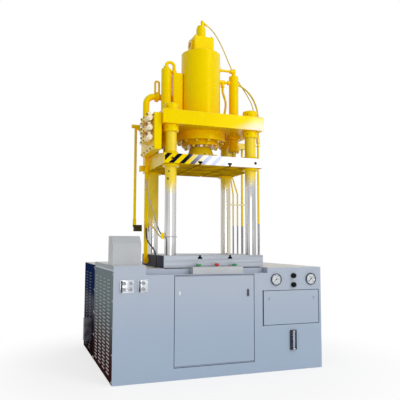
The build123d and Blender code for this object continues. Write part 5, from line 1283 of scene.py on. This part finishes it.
class PRESS_OT_coil_plugs(Operator):
    """Plugs with glands on the valve coils"""
    bl_idname = "press.coil_plugs"
    bl_label = "Coil plugs"

    def execute(self, context):
        shell = moulded("coil_plug", context.scene.press_paints.valve_cream, 0.42)
        dark = moulded("plug_gland", (0.10, 0.045, 0.02), 0.5)
        low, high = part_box("solenoid_valves")
        coil_reach, coil_rise = 0.102, 0.0235
        gland = lathe([(0.0, 0.0), (0.0075, 0.0), (0.0075, 0.006), (0.0062, 0.007), (0.0062, 0.012),
                       (0.0, 0.013)], hexagonal=(1, 2), segments=12)
        gland_place = at(-0.014, 0, 0.014) @ Matrix.Rotation(-math.pi / 2, 4, "Y")
        parts = []
        for height in VALVE_HEIGHTS:
            for reach in (-coil_reach, coil_reach):
                place = at((low.x + high.x) / 2, VALVE_MIDDLE + reach, height + coil_rise)
                parts += [(slab((0.028, 0.034, 0.026), (0, 0, 0.014), 0.003), place, 0),
                          (slab((0.031, 0.037, 0.004), (0, 0, 0.0035), 0.0012), place, 1),
                          (gland, place @ gland_place, 1)]
        join("coil_plugs", parts, [shell, dark], "press_frame")
        return {"FINISHED"}


class PRESS_OT_stage(Operator):
    """Floor, room light, lamps and camera"""
    bl_idname = "press.stage"
    bl_label = "Stage"

    def execute(self, context):
        stage = context.scene.press_stage
        floor = self.floor(stage)
        self.room(context, stage)
        for name, place, aim, size, power in (
                ("key_lamp", (4.4, -7.6, 8.4), (0.1, 0.0, 1.4), 4.5, stage.key_power),
                ("fill_lamp", (-1.2, -7.5, 0.9), (0.0, 0.0, 1.8), 2.4, stage.fill_power),
                ("highlight_lamp", (3.05, -5.75, 3.7), (0.0, 0.0, 2.1), 0.5, stage.highlight_power)):
            self.lamp(name, place, aim, size, power)
        self.camera(context, stage)
        return {"FINISHED"}

    def floor(self, stage):
        """A wide pale floor that keeps the press's shadow."""
        finish, tree, shader = new_finish("floor_pale")
        film = paint_film(tree, stage.floor_tone, dim(stage.floor_tone, 0.96), 0.6, 0.5)
        set_shader(tree, shader, {"Base Color": film["Colour"], "Roughness": 0.85, "Specular IOR Level": 0.1})
        away = add_node(tree, "ShaderNodeVectorMath", {0: object_place(tree)}, operation="LENGTH")["Value"]
        share = figure(tree, "MULTIPLY", self.seen(tree), spread(tree, away, 1.2, 2.4, 0.72, 1.0))
        glow = tree.nodes.new("ShaderNodeEmission").outputs[0]
        blend = add_node(tree, "ShaderNodeMixShader", {0: share, 1: shader.outputs[0], 2: glow})
        wire(tree, tree.nodes["Material Output"].inputs["Surface"], blend[0])
        shape = bmesh.new()
        bmesh.ops.create_grid(shape, x_segments=8, y_segments=8, size=45.0)
        mesh = bpy.data.meshes.new("floor")
        shape.to_mesh(mesh)
        shape.free()
        mesh.materials.append(finish)
        return link_object("floor", mesh)

    def seen(self, tree):
        """1 for rays from the camera and from gloss and glass."""
        path = tree.nodes.new("ShaderNodeLightPath").outputs
        direct = figure(tree, "ADD", path["Is Camera Ray"], path["Is Glossy Ray"])
        return figure(tree, "MINIMUM", figure(tree, "ADD", direct, path["Is Transmission Ray"]), 1.0)

    def room(self, context, stage):
        """White where it is seen, and an even light that is weaker from the left."""
        world = bpy.data.worlds.new("room")
        world.use_nodes = True
        context.scene.world = world
        tree = world.node_tree
        side = axes(tree, tree.nodes.new("ShaderNodeTexCoord").outputs["Generated"])[0]
        even = spread(tree, side, -0.9, 0.5, 0.72 * stage.room_light, 1.06 * stage.room_light)
        set_shader(tree, tree.nodes["Background"], {
            "Strength": mix_value(tree, self.seen(tree), even, 1.0), "Color": WHITE})

    def lamp(self, name, place, aim, size, power):
        """A square area lamp."""
        light = bpy.data.lights.new(name, "AREA")
        light.size = size
        light.energy = power
        piece = link_object(name, light)
        piece.location = place
        piece.rotation_euler = (Vector(aim) - Vector(place)).to_track_quat("-Z", "Y").to_euler()

    def camera(self, context, stage):
        """The camera at the photograph's view."""
        ahead = Vector((math.sin(stage.turn), math.cos(stage.turn), 0.0))
        forward = ahead * math.cos(stage.tilt) + Vector((0.0, 0.0, math.sin(stage.tilt)))
        level = Vector((ahead.y, -ahead.x, 0.0))
        above = level.cross(forward)
        right = level * math.cos(stage.roll) + above * math.sin(stage.roll)
        upward = above * math.cos(stage.roll) - level * math.sin(stage.roll)
        data = bpy.data.cameras.new("camera")
        data.sensor_width = 36.0
        data.lens = data.sensor_width * stage.image_focus
        data.clip_end = 200.0
        piece = link_object("camera", data)
        piece.matrix_world = at(*stage.eye) @ Matrix((right, upward, -forward)).transposed().to_4x4()
        context.scene.camera = piece
        context.scene.view_settings.view_transform = "Standard"


class PRESS_PT_sidebar(Panel):
    """The press's steps and settings"""
    bl_idname = "PRESS_PT_sidebar"
    bl_label = "Hydraulic press"
    bl_space_type = "VIEW_3D"
    bl_region_type = "UI"
    bl_category = "Press"

    def draw(self, context):
        for name in SETTINGS:
            group = getattr(context.scene, name)
            box = self.layout.box()
            for key in group.bl_rna.properties.keys():
                if key not in ("rna_type", "name"):
                    box.prop(group, key)
        for step in STEPS:
            self.layout.operator(step.bl_idname)


STEPS = (
    PRESS_OT_shared_parts, PRESS_OT_upper_works, PRESS_OT_columns_and_ram, PRESS_OT_slide_and_bed,
    PRESS_OT_cabinet, PRESS_OT_power_unit, PRESS_OT_controls, PRESS_OT_flange_bolts, PRESS_OT_sheet_screws,
    PRESS_OT_gauge_faces, PRESS_OT_level_window, PRESS_OT_hose_ferrules, PRESS_OT_socket_plates,
    PRESS_OT_coil_plugs, PRESS_OT_stage,
)
SETTINGS = {"press_paints": PressPaints, "press_fittings": PressFittings, "press_stage": PressStage}


def register():
    """Register the settings, steps and panel."""
    for name, group in SETTINGS.items():
        bpy.utils.register_class(group)
        setattr(bpy.types.Scene, name, PointerProperty(type=group))
    for step in (*STEPS, PRESS_PT_sidebar):
        bpy.utils.register_class(step)


def unregister():
    """Remove them again."""
    for step in reversed((*STEPS, PRESS_PT_sidebar)):
        bpy.utils.unregister_class(step)
    for name, group in SETTINGS.items():
        delattr(bpy.types.Scene, name)
        bpy.utils.unregister_class(group)


def main():
    """Run every step."""
    register()
    for step in STEPS:
        group, name = step.bl_idname.split(".")
        getattr(getattr(bpy.ops, group), name)()


if __name__ == "__main__":
    main()
